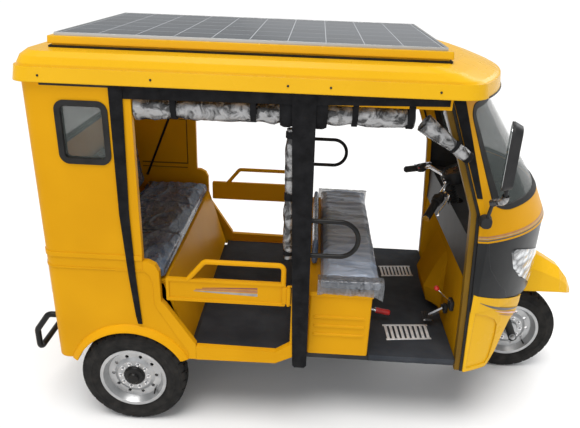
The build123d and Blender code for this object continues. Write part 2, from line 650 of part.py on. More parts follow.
def shell_section(section, grow=0, wall=COWL_WALL):
    """Plan outline of the front shell at one height: a band of the given wall, pushed out by grow."""
    z, flange, side, tip = section
    out = COWL_HALF + grow
    ins = COWL_HALF - wall + grow
    flange_x = FRONT_X + flange
    side_x = FRONT_X + side
    tip_x = FRONT_X + tip + grow
    with BuildSketch(Plane.XY.offset(z)) as band:
        with BuildLine():
            Line((flange_x, -out), (side_x, -out))
            ThreePointArc((side_x, -out), (tip_x, 0), (side_x, out))
            Line((side_x, out), (flange_x, out))
            Line((flange_x, out), (flange_x, ins))
            Line((flange_x, ins), (side_x, ins))
            ThreePointArc((side_x, ins), (tip_x - wall, 0), (side_x, -ins))
            Line((side_x, -ins), (flange_x, -ins))
            Line((flange_x, -ins), (flange_x, -out))
        make_face()
    return band.sketch


def edge_strip(behind, width):
    """Side view of a strip that follows the rear edge of the front shell, lying behind it."""
    with BuildSketch() as strip:
        with BuildLine():
            front = [(FRONT_X + flange - behind, z) for z, flange in SHELL_EDGE]
            Polyline(*front, *((x - width, z) for x, z in reversed(front)), close=True)
        make_face()
    return strip.sketch


# Side frames: posts behind the driver's seat with hinge pins, headers over the doorways and front door jambs
HEADER_Y = BODY_HALF - WALL / 2
POST_Y = HEADER_Y
FRONT_HEADER_X = FRONT_X - 660
POST_FOOT = SILL_POST_Z + SEAM
SEAL_W = 14
JAMB_W = 24
HINGE_X = B_POST_X - POST_SIZE / 2 - 14
HINGE_PIN_R = 5
HINGE_SLEEVE_R = 10
HINGE_Z = (742, 832)
with BuildPart() as side_frames:
    for side, sign in SIDES:
        with BuildSketch(Plane.XY.offset(HEADER_Z)):
            with Locations(((DOOR_REAR_X + SEAM + FRONT_HEADER_X) / 2, sign * HEADER_Y)):
                Rectangle(FRONT_HEADER_X - DOOR_REAR_X - SEAM, WALL)
        extrude(amount=QUARTER_TOP - HEADER_Z)
        with BuildSketch(Plane.XY.offset(POST_FOOT)):
            with Locations((B_POST_X, sign * POST_Y)):
                Rectangle(POST_SIZE, WALL)
        extrude(amount=HEADER_Z - POST_FOOT)
        for tab_z in (HINGE_Z[0] - 8, HINGE_Z[1] + SEAM):
            with BuildSketch(Plane.XY.offset(tab_z)):
                with Locations(((HINGE_X + B_POST_X) / 2, sign * (BODY_HALF - 4))):
                    Rectangle(B_POST_X - HINGE_X, 8)
                with Locations((HINGE_X, sign * BODY_HALF)):
                    Circle(8)
            extrude(amount=8 - SEAM)
        with BuildSketch(Plane.XY.offset(HINGE_Z[0] - 8)):
            with Locations((HINGE_X, sign * BODY_HALF)):
                Circle(HINGE_PIN_R)
        extrude(amount=HINGE_Z[1] - HINGE_Z[0] + 16)
        with BuildSketch(side_view(sign * JAMB_OUTER)):
            add(edge_strip(SEAL_W, JAMB_W))
        extrude(amount=sign * JAMB_DEPTH)
save(side_frames.part, "side_frames")

# Low back pad along the rear edge of the driver's seat
BACK_PAD_HALF = 360
with BuildPart() as driver_back:
    with BuildSketch(Plane.XY.offset(DRIVER_BASE_TOP + SEAM)):
        with Locations((DRIVER_BASE_X + BACK_PAD_T / 2, 0)):
            RectangleRounded(BACK_PAD_T, 2 * BACK_PAD_HALF, 14)
    extrude(amount=BACK_PAD_TOP - DRIVER_BASE_TOP)
    fillet(driver_back.edges().group_by(Axis.Z)[-1], radius=12)
save(driver_back.part, "driver_back")

# Looped grab handles beside the driver's seat
LOOP_Z = (1000, 1171)
LOOP_X = (B_POST_X + POST_SIZE / 2 + SEAM, B_POST_X + 278 - TUBE_R)
with BuildPart() as grab_handles:
    for side, sign in SIDES:
        with BuildLine() as loop:
            FilletPolyline((LOOP_X[0], sign * POST_Y, LOOP_Z[1]), (LOOP_X[1], sign * POST_Y, LOOP_Z[1]),
                           (LOOP_X[1], sign * POST_Y, LOOP_Z[0]), (LOOP_X[0], sign * POST_Y, LOOP_Z[0]), radius=84)
        with BuildSketch(Plane(origin=loop.line @ 0, z_dir=loop.line % 0)):
            Circle(TUBE_R)
        sweep()
save(grab_handles.part, "grab_handles")

# Door bars: a pressed plate under a bent tube rail, with a hinge sleeve on the post's pin
BAR_Y = BODY_HALF - WALL / 2
BAR_REAR_X = REAR_X + 190
BAR_FRONT_X = HINGE_X - HINGE_SLEEVE_R - 4
BAR_Z = (727, 847)
RAIL_TOP = 950
RAIL_R = 12
BAR_FOLD = 14
for side, sign in SIDES:
    with BuildPart() as door_bar:
        with BuildSketch(side_view(sign * BAR_Y)):
            with Locations(((BAR_REAR_X + BAR_FRONT_X) / 2, (BAR_Z[0] + BAR_Z[1]) / 2)):
                RectangleRounded(BAR_FRONT_X - BAR_REAR_X, BAR_Z[1] - BAR_Z[0], 8)
        extrude(amount=10, both=True)
        with BuildSketch(side_view(sign * (BAR_Y + 10))):
            with Locations(((BAR_REAR_X + BAR_FRONT_X) / 2, (BAR_Z[0] + BAR_Z[1]) / 2)):
                RectangleRounded(BAR_FRONT_X - BAR_REAR_X - 2 * BAR_FOLD, BAR_Z[1] - BAR_Z[0] - 2 * BAR_FOLD, 6)
        extrude(amount=sign * 5, taper=20, mode=Mode.SUBTRACT)
        with BuildLine() as rail:
            FilletPolyline((REAR_X + 290, sign * BAR_Y, BAR_Z[1] - 10), (REAR_X + 372, sign * BAR_Y, RAIL_TOP - RAIL_R),
                           (BAR_FRONT_X - RAIL_R, sign * BAR_Y, RAIL_TOP - RAIL_R),
                           (BAR_FRONT_X - RAIL_R, sign * BAR_Y, BAR_Z[1] - 10), radius=25)
        with BuildSketch(Plane(origin=rail.line @ 0, z_dir=rail.line % 0)):
            Circle(RAIL_R)
        sweep()
        with BuildSketch(Plane.XY.offset(HINGE_Z[0])):
            with Locations((HINGE_X, sign * BODY_HALF)):
                Circle(HINGE_SLEEVE_R)
            with Locations(((HINGE_X + BAR_FRONT_X) / 2 - 8, sign * (BODY_HALF - 5))):
                Rectangle(HINGE_X - BAR_FRONT_X + 16, 8)
        extrude(amount=HINGE_Z[1] - HINGE_Z[0])
        with BuildSketch(Plane.XY.offset(HINGE_Z[0])):
            with Locations((HINGE_X, sign * BODY_HALF)):
                Circle(HINGE_PIN_R + RUNNING_CLEARANCE)
        extrude(amount=HINGE_Z[1] - HINGE_Z[0], mode=Mode.SUBTRACT)
    save(door_bar.part, f"door_bar_{side}")

# Yellow cowl: the band under the windscreen, the front pillars and the rail over the glass
GLASS_LOW = 1226
GLASS_HIGH = 1700
GLASS_HALF = COWL_HALF - 25
RUBBER_W = 24
GLASS_T = 5
GLASS_MID = (GLASS_LOW + GLASS_HIGH) / 2
glass_view = Plane(origin=(FLANGE_X - 250, 0, GLASS_MID), x_dir=(0, 1, 0), z_dir=(1, 0, 0))


def glass_outline(inset):
    """Front view of the windscreen opening, drawn in by inset."""
    with BuildSketch(glass_view) as outline:
        RectangleRounded(2 * (GLASS_HALF - inset), GLASS_HIGH - GLASS_LOW - 2 * inset, 60 - inset)
    return outline.sketch


with BuildPart() as front_cowl:
    loft([shell_section(SECTION_NOSE), shell_section(SECTION_BAND)], ruled=True)
    loft([shell_section(SECTION_BAND), shell_section(SECTION_TOP)], ruled=True)
    extrude(glass_outline(0), amount=900, mode=Mode.SUBTRACT)
save(front_cowl.part, "front_cowl")

# Rubber round the windscreen and the other windows, and the seals down the front door openings
SEAL_LIP = 10
rear_face = Plane(origin=(BODY_REAR_X - SEAM, 0, REAR_WINDOW[0]), x_dir=(0, -1, 0), z_dir=(-1, 0, 0))
with BuildPart() as window_rubbers:
    loft([shell_section(SECTION_BAND, 3), shell_section(SECTION_TOP, 3)], ruled=True)
    extrude(glass_outline(SEAM), amount=900, mode=Mode.INTERSECT)
    extrude(glass_outline(RUBBER_W), amount=900, mode=Mode.SUBTRACT)
    for side, sign in SIDES:
        with BuildSketch(side_view(sign * (BODY_HALF + SEAM))):
            with Locations((REAR_X + WINDOW[0], WINDOW[1])):
                RectangleRounded(WINDOW[2] + 2 * SEAL_LIP, WINDOW[3] + 2 * SEAL_LIP, WINDOW[4] + SEAL_LIP)
                RectangleRounded(WINDOW[2] - 30, WINDOW[3] - 30, WINDOW[4] - 15, mode=Mode.SUBTRACT)
        extrude(amount=-sign * 5)
        with BuildSketch(side_view(sign * (BODY_HALF + SEAM + 1))):
            with Locations((REAR_X + WINDOW[0], WINDOW[1])):
                RectangleRounded(WINDOW[2] - 2 * SEAM, WINDOW[3] - 2 * SEAM, WINDOW[4] - SEAM)
                RectangleRounded(WINDOW[2] - 30, WINDOW[3] - 30, WINDOW[4] - 15, mode=Mode.SUBTRACT)
        extrude(amount=sign * (WALL + 4))
    with BuildSketch(rear_face):
        RectangleRounded(REAR_WINDOW[1] + 2 * SEAL_LIP, REAR_WINDOW[2] + 2 * SEAL_LIP, REAR_WINDOW[3] + SEAL_LIP)
        RectangleRounded(REAR_WINDOW[1] - 30, REAR_WINDOW[2] - 30, REAR_WINDOW[3] - 15, mode=Mode.SUBTRACT)
    extrude(amount=5)
    with BuildSketch(rear_face.offset(1)):
        RectangleRounded(REAR_WINDOW[1] - 2 * SEAM, REAR_WINDOW[2] - 2 * SEAM, REAR_WINDOW[3] - SEAM)
        RectangleRounded(REAR_WINDOW[1] - 30, REAR_WINDOW[2] - 30, REAR_WINDOW[3] - 15, mode=Mode.SUBTRACT)
    extrude(amount=-WALL - 4)
    for side, sign in SIDES:
        with BuildSketch(side_view(sign * (COWL_HALF - COWL_WALL / 2))):
            add(edge_strip(SEAM, SEAL_W - 2 * SEAM))
        extrude(amount=sign * 24)
save(window_rubbers.part, "window_rubbers")

# Glass: the windscreen, bowed like the shell that holds it, and the flat side and rear panes
PANE_T = 5
with BuildPart() as window_glass:
    loft([shell_section(SECTION_BAND, -4, GLASS_T), shell_section(SECTION_TOP, -4, GLASS_T)], ruled=True)
    extrude(glass_outline(RUBBER_W + SEAM), amount=900, mode=Mode.INTERSECT)
    for side, sign in SIDES:
        with BuildSketch(side_view(sign * (BODY_HALF - WALL / 2))):
            with Locations((REAR_X + WINDOW[0], WINDOW[1])):
                RectangleRounded(WINDOW[2] - 30 - 2 * SEAM, WINDOW[3] - 30 - 2 * SEAM, WINDOW[4] - 15)
        extrude(amount=PANE_T / 2, both=True)
    with BuildSketch(rear_face.offset(-WALL / 2)):
        RectangleRounded(REAR_WINDOW[1] - 30 - 2 * SEAM, REAR_WINDOW[2] - 30 - 2 * SEAM, REAR_WINDOW[3] - 15)
    extrude(amount=PANE_T / 2, both=True)
save(window_glass.part, "window_glass")

# Black nose panel with its lamp openings
# Lamp corners: inset from the shell's side, and z
LAMP_SHAPE = ((74, 1027), (318, 928), (326, 850), (272, 750), (153, 845), (103, 915))
lamp_view = Plane(origin=(FLANGE_X, 0, 0), x_dir=(0, 1, 0), z_dir=(1, 0, 0))


def lamp_outline(inset):
    """Front view of both lamps, drawn in by inset."""
    with BuildSketch(lamp_view) as outline:
        for side, sign in SIDES:
            with BuildLine():
                Polyline(*((sign * (COWL_HALF - y), z) for y, z in LAMP_SHAPE), close=True)
            make_face()
        fillet(outline.vertices(), radius=12)
        offset(amount=-inset)
    return outline.sketch


# Pressed fields in the shell's skin, as side views from the front axle: one on the nose, one on each leg shield
NOSE_FIELD = ((-395, 1095), (-387, 1026), (-362, 944), (-294, 847), (-256, 808), (-215, 710), (40, 710), (40, 1095))
SHIELD_FIELD = ((-399, 712), (-334, 687), (-285, 650), (-265, 618), (-261, 560), (-263, 534), (-276, 422),
                (-292, 396), (-396, 396))


def pressed_field(low, high, outline, depth):
    """Layer of the shell's skin of the given depth within a side view outline."""
    with BuildPart() as field:
        loft([shell_section(low, 5, 5 + depth), shell_section(high, 5, 5 + depth)], ruled=True)
        with BuildSketch(side_view(0)):
            with BuildLine():
                Polyline(*((FRONT_X + x, z) for x, z in outline), close=True)
            make_face()
        extrude(amount=700, both=True, mode=Mode.INTERSECT)
    return field.part


NOSE_PRESS = 3
nose_field = pressed_field(SECTION_LOW, SECTION_NOSE, NOSE_FIELD, NOSE_PRESS)
shield_field = pressed_field(SECTION_FOOT, SECTION_LOW, SHIELD_FIELD, 6)

with BuildPart() as nose_panel:
    loft([shell_section(SECTION_LOW), shell_section(SECTION_NOSE)], ruled=True)
    add(nose_field, mode=Mode.SUBTRACT)
    extrude(lamp_outline(0), amount=700, mode=Mode.SUBTRACT)
save(nose_panel.part, "nose_panel")

# Headlamps, bowed with the nose
with BuildPart() as headlamps:
    loft([shell_section(SECTION_LOW, 3, 40), shell_section(SECTION_NOSE, 3, 40)], ruled=True)
    extrude(lamp_outline(SEAM), amount=700, mode=Mode.INTERSECT)
save(headlamps.part, "headlamps")

# Leg shields below the nose, cut back round the wheel
# Rear side of the wheel opening, from the front axle and the ground
SHIELD_CUT = ((-300, 360), (-275, 387), (-240, 454), (-217, 526), (-182, 604), (-141, 641), (-129, 680), (-128, 730))
with BuildPart() as leg_shields:
    loft([shell_section(SECTION_FOOT, 0), shell_section(SECTION_LOW, 0)], ruled=True)
    add(shield_field, mode=Mode.SUBTRACT)
    with BuildSketch(side_view(0)):
        with BuildLine():
            Polyline(*((FRONT_X + x, z) for x, z in SHIELD_CUT), (FRONT_X + 200, 730), (FRONT_X + 200, 360), close=True)
        make_face()
    extrude(amount=700, both=True, mode=Mode.SUBTRACT)
save(leg_shields.part, "leg_shields")

# Bulkhead between the cabin and the front wheel, with a hollow bulge in its middle
DASH_FOOT = 850
BULGE_SKIN = 10
# Depth behind the bulkhead, and z
BULGE = ((0, DASH_FOOT - 5), (52, 700), (98, 575), (74, 486), (0, FLOOR_TOP + MAT_T + 4))
# Half width of the bulge, and its depth there as a share of the full depth
BULGE_WIDTHS = ((120, 1.0), (175, 0.3))


def bulge_section(y, share, skin):
    """Side view of the bulge at one y, drawn in by its skin."""
    face = FLANGE_X + BULKHEAD_T
    with BuildSketch(side_view(y)) as section:
        with BuildLine():
            Polyline((face, BULGE[0][1] - skin), *((FLANGE_X + skin - share * depth, z) for depth, z in BULGE[1:-1]),
                     (face, BULGE[-1][1] + skin), close=True)
        make_face()
    return section.sketch


with BuildPart() as bulkhead:
    with BuildSketch(Plane(origin=(FLANGE_X, 0, 0), x_dir=(0, 1, 0), z_dir=(1, 0, 0))):
        with Locations((0, (FLOOR_TOP + DASH_FOOT) / 2)):
            Rectangle(2 * JAMB_INNER, DASH_FOOT - FLOOR_TOP)
    extrude(amount=BULKHEAD_T)
    for skin, mode in ((0, Mode.ADD), (BULGE_SKIN, Mode.SUBTRACT)):
        middle, outer = BULGE_WIDTHS
        loft([bulge_section(-middle[0], middle[1], skin), bulge_section(middle[0], middle[1], skin)], ruled=True, mode=mode)
        for sign in (-1, 1):
            loft([bulge_section(sign * middle[0], middle[1], skin),
                  bulge_section(sign * (outer[0] - skin), outer[1], skin)], ruled=True, mode=mode)
save(bulkhead.part, "bulkhead")

# Dash: a lower panel on the bulkhead, a shelf notched for the steering column, and the cowl's black lining
DASH_TOP = 1030
DASH_T = 20
DASH_HALF = COWL_HALF - 34
LINING_T = 3
with BuildPart() as dash_panel:
    with BuildSketch(Plane(origin=(FLANGE_X, 0, 0), x_dir=(0, 1, 0), z_dir=(1, 0, 0))):
        with Locations((0, (DASH_FOOT + DASH_TOP) / 2)):
            Rectangle(2 * JAMB_INNER, DASH_TOP - DASH_FOOT)
    extrude(amount=BULKHEAD_T)
    with BuildSketch(Plane.XY.offset(DASH_TOP)):
        with BuildLine():
            Line((FLANGE_X + SEAL_W, -DASH_HALF), (FRONT_X - 404, -DASH_HALF))
            ThreePointArc((FRONT_X - 404, -DASH_HALF), (FRONT_X - 12, 0), (FRONT_X - 404, DASH_HALF))
            Line((FRONT_X - 404, DASH_HALF), (FLANGE_X + SEAL_W, DASH_HALF))
            Line((FLANGE_X + SEAL_W, DASH_HALF), (FLANGE_X + SEAL_W, -DASH_HALF))
        make_face()
        with Locations((FLANGE_X + SEAL_W, 0)):
            Rectangle(2 * SEAL_W, 2 * JAMB_INNER)
        with Locations((FRONT_X - 418, 0)):
            Circle(45, mode=Mode.SUBTRACT)
    extrude(amount=DASH_T)
    loft([shell_section(SECTION_NOSE, -COWL_WALL - SEAM, LINING_T),
          shell_section(SECTION_BAND, -COWL_WALL - SEAM, LINING_T)], ruled=True)
save(dash_panel.part, "dash_panel")

# Mudguard: a peaked beak fixed to the nose, creased along its sides and open below
BEAK_WALL = 7
# Columns: x from the axle, ridge z, ridge half width, crease z, crease half width, foot z, foot half width
BEAK = ((-40, 812, 46, 735, 116, 577, 128), (90, 756, 40, 690, 108, 577, 124), (205, 690, 32, 636, 86, 566, 102),
        (264, 622, 24, 590, 58, 548, 72), (FRONT_OVERHANG, 556, 14, 545, 26, 528, 32))


def beak_section(row, skin):
    """Front view of the beak at one station, drawn in by its skin and run on below when it has one."""
    x, ridge, ridge_half, crease, crease_half, foot, foot_half = row
    low = foot - 3 * skin
    with BuildSketch(Plane(origin=(FRONT_X + x - 2 * skin, 0, 0), x_dir=(0, 1, 0), z_dir=(1, 0, 0))) as section:
        with BuildLine():
            Polyline((-foot_half + skin, low), (-crease_half + skin, crease), (-ridge_half + skin / 2, ridge - skin),
                     (ridge_half - skin / 2, ridge - skin), (crease_half - skin, crease), (foot_half - skin, low),
                     close=True)
        make_face()
    return section.sketch


with BuildPart() as mudguard:
    for skin, mode in ((0, Mode.ADD), (BEAK_WALL, Mode.SUBTRACT)):
        for near, far in zip(BEAK, BEAK[1:]):
            loft([beak_section(near, skin), beak_section(far, skin)], ruled=True, mode=mode)
    with BuildSketch(Plane.XY.offset(450)):
        with BuildLine():
            out = COWL_HALF + SEAM - NOSE_PRESS
            tip_x = FRONT_X + SECTION_NOSE[3] + SEAM - NOSE_PRESS
            Line((FLANGE_X, -out), (FRONT_X - 404, -out))
            ThreePointArc((FRONT_X - 404, -out), (tip_x, 0), (FRONT_X - 404, out))
            Line((FRONT_X - 404, out), (FLANGE_X, out))
            Line((FLANGE_X, out), (FLANGE_X, -out))
        make_face()
    extrude(amount=500, mode=Mode.SUBTRACT)
save(mudguard.part, "mudguard")

# Roof: a stepped moulding, hollow below, with a raised and overhanging tray for the solar panel
ROOF_REAR = 418
ROOF_SIDE = BODY_HALF + 15
ROOF_CORNER_R = 90
VISOR_CORNER_R = 130


def roof_outline(rise, inset, front_inset):
    """Plan outline of the roof at one height: rounded rear corners and a bowed front."""
    rear_x = REAR_X - ROOF_REAR + inset
    half = ROOF_SIDE - inset
    shoulder_x = FRONT_X - 554 - front_inset
    tip_x = FRONT_X - 336 - front_inset
    corner = ROOF_CORNER_R
    with BuildSketch(Plane.XY.offset(ROOF_EDGE_Z + rise)) as outline:
        with BuildLine():
            Line((rear_x + corner, -half), (shoulder_x, -half))
            ThreePointArc((shoulder_x, -half), (tip_x, 0), (shoulder_x, half))
            Line((shoulder_x, half), (rear_x + corner, half))
            RadiusArc((rear_x + corner, half), (rear_x, half - corner), -corner)
            Line((rear_x, half - corner), (rear_x, corner - half))
            RadiusArc((rear_x, corner - half), (rear_x + corner, -half), -corner)
        make_face()
        fillet(outline.vertices().group_by(Axis.X)[-1], radius=VISOR_CORNER_R)
    return outline.sketch


# Columns: rise above the lower edge, inset of the sides and rear, inset of the front
ROOF_STEPS = ((0, 0, 0), (ROOF_RISE - 58, 8, 8), (ROOF_RISE - 58, 17, 14), (ROOF_RISE - 48, 18, 30),
              (ROOF_RISE - 20, 30, 110), (ROOF_RISE, 54, 180))
ROOF_HOLLOW = ((0, 14 + ROOF_SKIN, 40), (ROOF_RISE - 63, 18 + ROOF_SKIN, 60), (ROOF_RISE - ROOF_SKIN, 60 + ROOF_SKIN, 200))
TRAY_X = REAR_X + PANEL_CENTRE
TRAY_BASE = 10
TRAY_OUT = 26
TRAY_GAP = 17
RIM_UP = 12
with BuildPart() as roof_shell:
    for low, high in zip(ROOF_STEPS, ROOF_STEPS[1:]):
        if high[0] > low[0]:
            loft([roof_outline(*low), roof_outline(*high)], ruled=True)
    for low, high in zip(ROOF_HOLLOW, ROOF_HOLLOW[1:]):
        loft([roof_outline(*low), roof_outline(*high)], ruled=True, mode=Mode.SUBTRACT)
    with BuildSketch(Plane(origin=(TRAY_X, 0, ROOF_TOP_Z))):
        Rectangle(PANEL_LENGTH + 2 * TRAY_BASE, PANEL_WIDTH + 2 * TRAY_BASE)
    extrude(amount=TRAY_RISE)
    with BuildSketch(Plane(origin=(TRAY_X, 0, ROOF_TOP_Z + TRAY_GAP))):
        RectangleRounded(PANEL_LENGTH + 2 * TRAY_OUT, PANEL_WIDTH + 2 * TRAY_OUT, 12)
    extrude(amount=TRAY_RISE + RIM_UP - TRAY_GAP, taper=6)
    with BuildSketch(Plane(origin=(TRAY_X, 0, ROOF_TOP_Z + TRAY_RISE))):
        Rectangle(PANEL_LENGTH + 2 * SEAM, PANEL_WIDTH + 2 * SEAM)
    extrude(amount=RIM_UP, mode=Mode.SUBTRACT)
    with BuildSketch(Plane(origin=(TRAY_X, 0, ROOF_TOP_Z - ROOF_SKIN - 1))):
        Rectangle(PANEL_LENGTH, PANEL_WIDTH)
    extrude(amount=TRAY_RISE, mode=Mode.SUBTRACT)
save(roof_shell.part, "roof_shell")

# Solar panel: aluminium frame and the laminate it holds
PANEL_Z = ROOF_TOP_Z + TRAY_RISE
FRAME_LIP = 12
LAMINATE_T = 5
with BuildPart() as solar_frame:
    with BuildSketch(Plane.XY.offset(PANEL_Z)):
        with Locations((TRAY_X, 0)):
            Rectangle(PANEL_LENGTH, PANEL_WIDTH)
            Rectangle(PANEL_LENGTH - 2 * FRAME_LIP, PANEL_WIDTH - 2 * FRAME_LIP, mode=Mode.SUBTRACT)
    extrude(amount=PANEL_FRAME_H)
save(solar_frame.part, "solar_frame")

with BuildPart() as solar_laminate:
    with BuildSketch(Plane.XY.offset(PANEL_Z + PANEL_FRAME_H - LAMINATE_T - 1)):
        with Locations((TRAY_X, 0)):
            Rectangle(PANEL_LENGTH - 2 * FRAME_LIP - 2 * SEAM, PANEL_WIDTH - 2 * FRAME_LIP - 2 * SEAM)
    extrude(amount=LAMINATE_T)
save(solar_laminate.part, "solar_laminate")

# Mirrors on bent arms beside the windscreen, each arm rising from a pod on the cowl
MIRROR_Y = COWL_HALF + 90
MIRROR_X = FRONT_X - 424
ARM_Z = 1225
MIRROR_UP = 298
MIRROR_TURN = 15
MIRROR_W = 130
MIRROR_H = 280
with BuildPart() as mirrors:
    for side, sign in SIDES:
        stem = MIRROR_X + 26
        with BuildLine() as arm:
            FilletPolyline((MIRROR_X - 10, sign * (COWL_HALF + 18), ARM_Z - 20), (MIRROR_X - 6, sign * (COWL_HALF + 38), ARM_Z + 60),
                           (stem - 6, sign * (MIRROR_Y - 34), ARM_Z + 84), (stem, sign * MIRROR_Y, ARM_Z + 110),
                           (stem, sign * MIRROR_Y, ARM_Z + 180), radius=14)
        with BuildSketch(Plane(origin=arm.line @ 0, z_dir=arm.line % 0)):
            Circle(8)
        sweep()
        turn = radians(MIRROR_TURN)
        back = Plane(origin=(MIRROR_X, sign * MIRROR_Y, ARM_Z + MIRROR_UP), x_dir=(-sign * sin(turn), cos(turn), 0),
                     z_dir=(cos(turn), sign * sin(turn), 0))
        with BuildSketch(back):
            RectangleRounded(MIRROR_W, MIRROR_H, 44)
        extrude(amount=10)
        with BuildSketch(back.offset(10)):
            RectangleRounded(MIRROR_W, MIRROR_H, 44)
        extrude(amount=32, taper=26)
        with BuildSketch(side_view(sign * (COWL_HALF + SEAM))):
            with Locations((MIRROR_X - 12, ARM_Z - 28)):
                RectangleRounded(58, 62, 24)
        extrude(amount=-sign * 34, taper=10)
save(mirrors.part, "mirrors")

# Cloth trim: a strip along each header, a strap down the rear door edge, one over the post and one on the pillar
STRAP_T = 4
STRAP_TOP = ROOF_EDGE_Z - 1
# Straps by their points from the rear axle: the rear edge downwards, then the front edge upwards
REAR_STRAP = ((2, STRAP_TOP), (3, 1163), (21, 855), (40, 640), (48, 592), (68, 592), (65, 640), (54, 857), (47, 1166),
              (60, STRAP_TOP))
POST_STRAP = ((B_POST - 50, STRAP_TOP), (B_POST - 4, 400), (B_POST + 8, 388), (B_POST + 54, 388), (B_POST + 66, 402),
              (B_POST + 50, STRAP_TOP))
with BuildPart() as door_straps:
    for side, sign in SIDES:
        with BuildSketch(side_view(sign * (BODY_HALF + SEAM))):
            with BuildLine():
                Polyline((REAR_X + 2, STRAP_TOP), (FRONT_HEADER_X - 10, STRAP_TOP), (FRONT_HEADER_X - 10, STRAP_TOP - 28),
                         (B_POST_X + 380, STRAP_TOP - 34), (B_POST_X, STRAP_TOP - 46), (REAR_X + 2, STRAP_TOP - 54),
                         close=True)
            make_face()
        extrude(amount=-sign * STRAP_T)
        for points in (REAR_STRAP, POST_STRAP):
            with BuildSketch(side_view(sign * (BODY_HALF + RIM_RAISE + SEAM))):
                with BuildLine():
                    Polyline(*((REAR_X + x, z) for x, z in points), close=True)
                make_face()
            extrude(amount=-sign * STRAP_T)
        with BuildSketch(side_view(sign * (COWL_HALF + SEAM))):
            with BuildLine():
                Polyline((FRONT_X - 652, STRAP_TOP), (FRONT_X - 602, STRAP_TOP), (FRONT_X - 462, 1300),
                         (FRONT_X - 486, 1300), close=True)
            make_face()
        extrude(amount=-sign * STRAP_T)
save(door_straps.part, "door_straps")

# Rolled side curtains under the headers, down the posts and along the front pillars
HEADER_ROLL_Y = BODY_HALF - WALL - 18
HEADER_ROLL_Z = HEADER_Z - 41.6
PILLAR_ROLL_Y = COWL_HALF + STRAP_T + 2 * SEAM + 30
POST_ROLL_Y = BODY_HALF - WALL - 18.5
# Columns: start x, start z, end x, end z, y, radius
ROLLS = ((DOOR_REAR + 5, HEADER_ROLL_Z, B_POST - 78, HEADER_ROLL_Z, HEADER_ROLL_Y, 45),
         (B_POST + 70, HEADER_ROLL_Z, 1256, HEADER_ROLL_Z, HEADER_ROLL_Y, 45),
         (1288, 1632, 1500, 1500, PILLAR_ROLL_Y, 30),
         (B_POST - POST_SIZE / 2 - 24, 1590, B_POST - POST_SIZE / 2 - 24, 965, POST_ROLL_Y, 30))
with BuildPart() as rolled_curtains:
    for side, sign in SIDES:
        for start_x, start_z, end_x, end_z, roll_y, roll_r in ROLLS:
            start = Vector(REAR_X + start_x, sign * roll_y, start_z)
            run = Vector(REAR_X + end_x, sign * roll_y, end_z) - start
            with BuildSketch(Plane(origin=start, z_dir=run)):
                Circle(roll_r)
            extrude(amount=run.length)
save(rolled_curtains.part, "rolled_curtains")

# Brake pedal and hand brake lever
with BuildPart() as brake_controls:
    with BuildLine() as lever:
        Polyline((DRIVER_BASE_FRONT + 1.5, -300, 520), (DRIVER_BASE_FRONT + 120, -300, 500))
    with BuildSketch(Plane(origin=lever.line @ 0, z_dir=lever.line % 0)):
        Circle(7)
    extrude(amount=125)
    with BuildSketch(Plane(origin=lever.line @ 0.45, z_dir=lever.line % 0)):
        Circle(14)
    extrude(amount=75)
    with BuildSketch(side_view(-300)):
        with BuildLine():
            Polyline((FLANGE_X - SEAM, 560), (FLANGE_X - 90, 500), (FLANGE_X - 90, 480), (FLANGE_X - SEAM, 540),
                     close=True)
        make_face()
    extrude(amount=8, both=True)
    with BuildSketch(Plane.XY.offset(482)):
        with Locations((FLANGE_X - 95, -300)):
            RectangleRounded(50, 70, 8)
    extrude(amount=10)
save(brake_controls.part, "brake_controls")
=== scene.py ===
import bpy
import bmesh
import json
import math
from mathutils import Matrix, Vector, noise


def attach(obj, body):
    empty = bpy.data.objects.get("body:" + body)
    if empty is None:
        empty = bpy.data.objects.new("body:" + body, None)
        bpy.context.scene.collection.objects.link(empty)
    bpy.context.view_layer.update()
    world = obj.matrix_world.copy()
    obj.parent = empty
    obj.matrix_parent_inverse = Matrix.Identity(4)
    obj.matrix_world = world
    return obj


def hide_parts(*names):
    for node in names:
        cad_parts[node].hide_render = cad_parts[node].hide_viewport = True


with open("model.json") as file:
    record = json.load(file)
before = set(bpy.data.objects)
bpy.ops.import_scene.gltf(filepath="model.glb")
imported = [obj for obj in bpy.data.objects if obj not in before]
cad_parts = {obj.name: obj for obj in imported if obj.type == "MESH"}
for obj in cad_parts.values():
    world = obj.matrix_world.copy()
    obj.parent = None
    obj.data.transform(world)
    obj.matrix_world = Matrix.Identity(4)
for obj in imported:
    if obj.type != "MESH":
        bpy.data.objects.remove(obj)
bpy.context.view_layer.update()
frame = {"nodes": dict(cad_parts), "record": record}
nodes = frame["nodes"]

# Places shared with the CAD, in metres
REAR_X, FRONT_X = -0.920, 1.134
AXLE_Z = 0.265
WHEEL_Y = 0.618
FORK_LEAD = 0.053
RAKE = math.radians(25)
AXIS_UP = Vector((-math.sin(RAKE), 0, math.cos(RAKE)))
AXIS_FRONT = Vector((math.cos(RAKE), 0, math.sin(RAKE)))
STEER_FOOT = Vector((FRONT_X, 0, AXLE_Z)) - AXIS_FRONT * FORK_LEAD
SIDES = (("right", -1), ("left", 1))
UP = Vector((0, 0, 1))
made = {}


# Materials, kept by name in made ----
def new_material(name, base, rough=0.5, metal=0.0, coat=0.0, coat_rough=0.05, spec=0.5, **sockets):
    m = bpy.data.materials.new(name)
    m.use_nodes = True
    b = m.node_tree.nodes["Principled BSDF"]
    b.inputs["Base Color"].default_value = (*base, 1)
    b.inputs["Roughness"].default_value = rough
    b.inputs["Metallic"].default_value = metal
    b.inputs["Specular IOR Level"].default_value = spec
    b.inputs["Coat Weight"].default_value = coat
    b.inputs["Coat Roughness"].default_value = coat_rough
    for key, value in sockets.items():
        b.inputs[key.replace("_", " ")].default_value = value
    made[name] = m
    return m


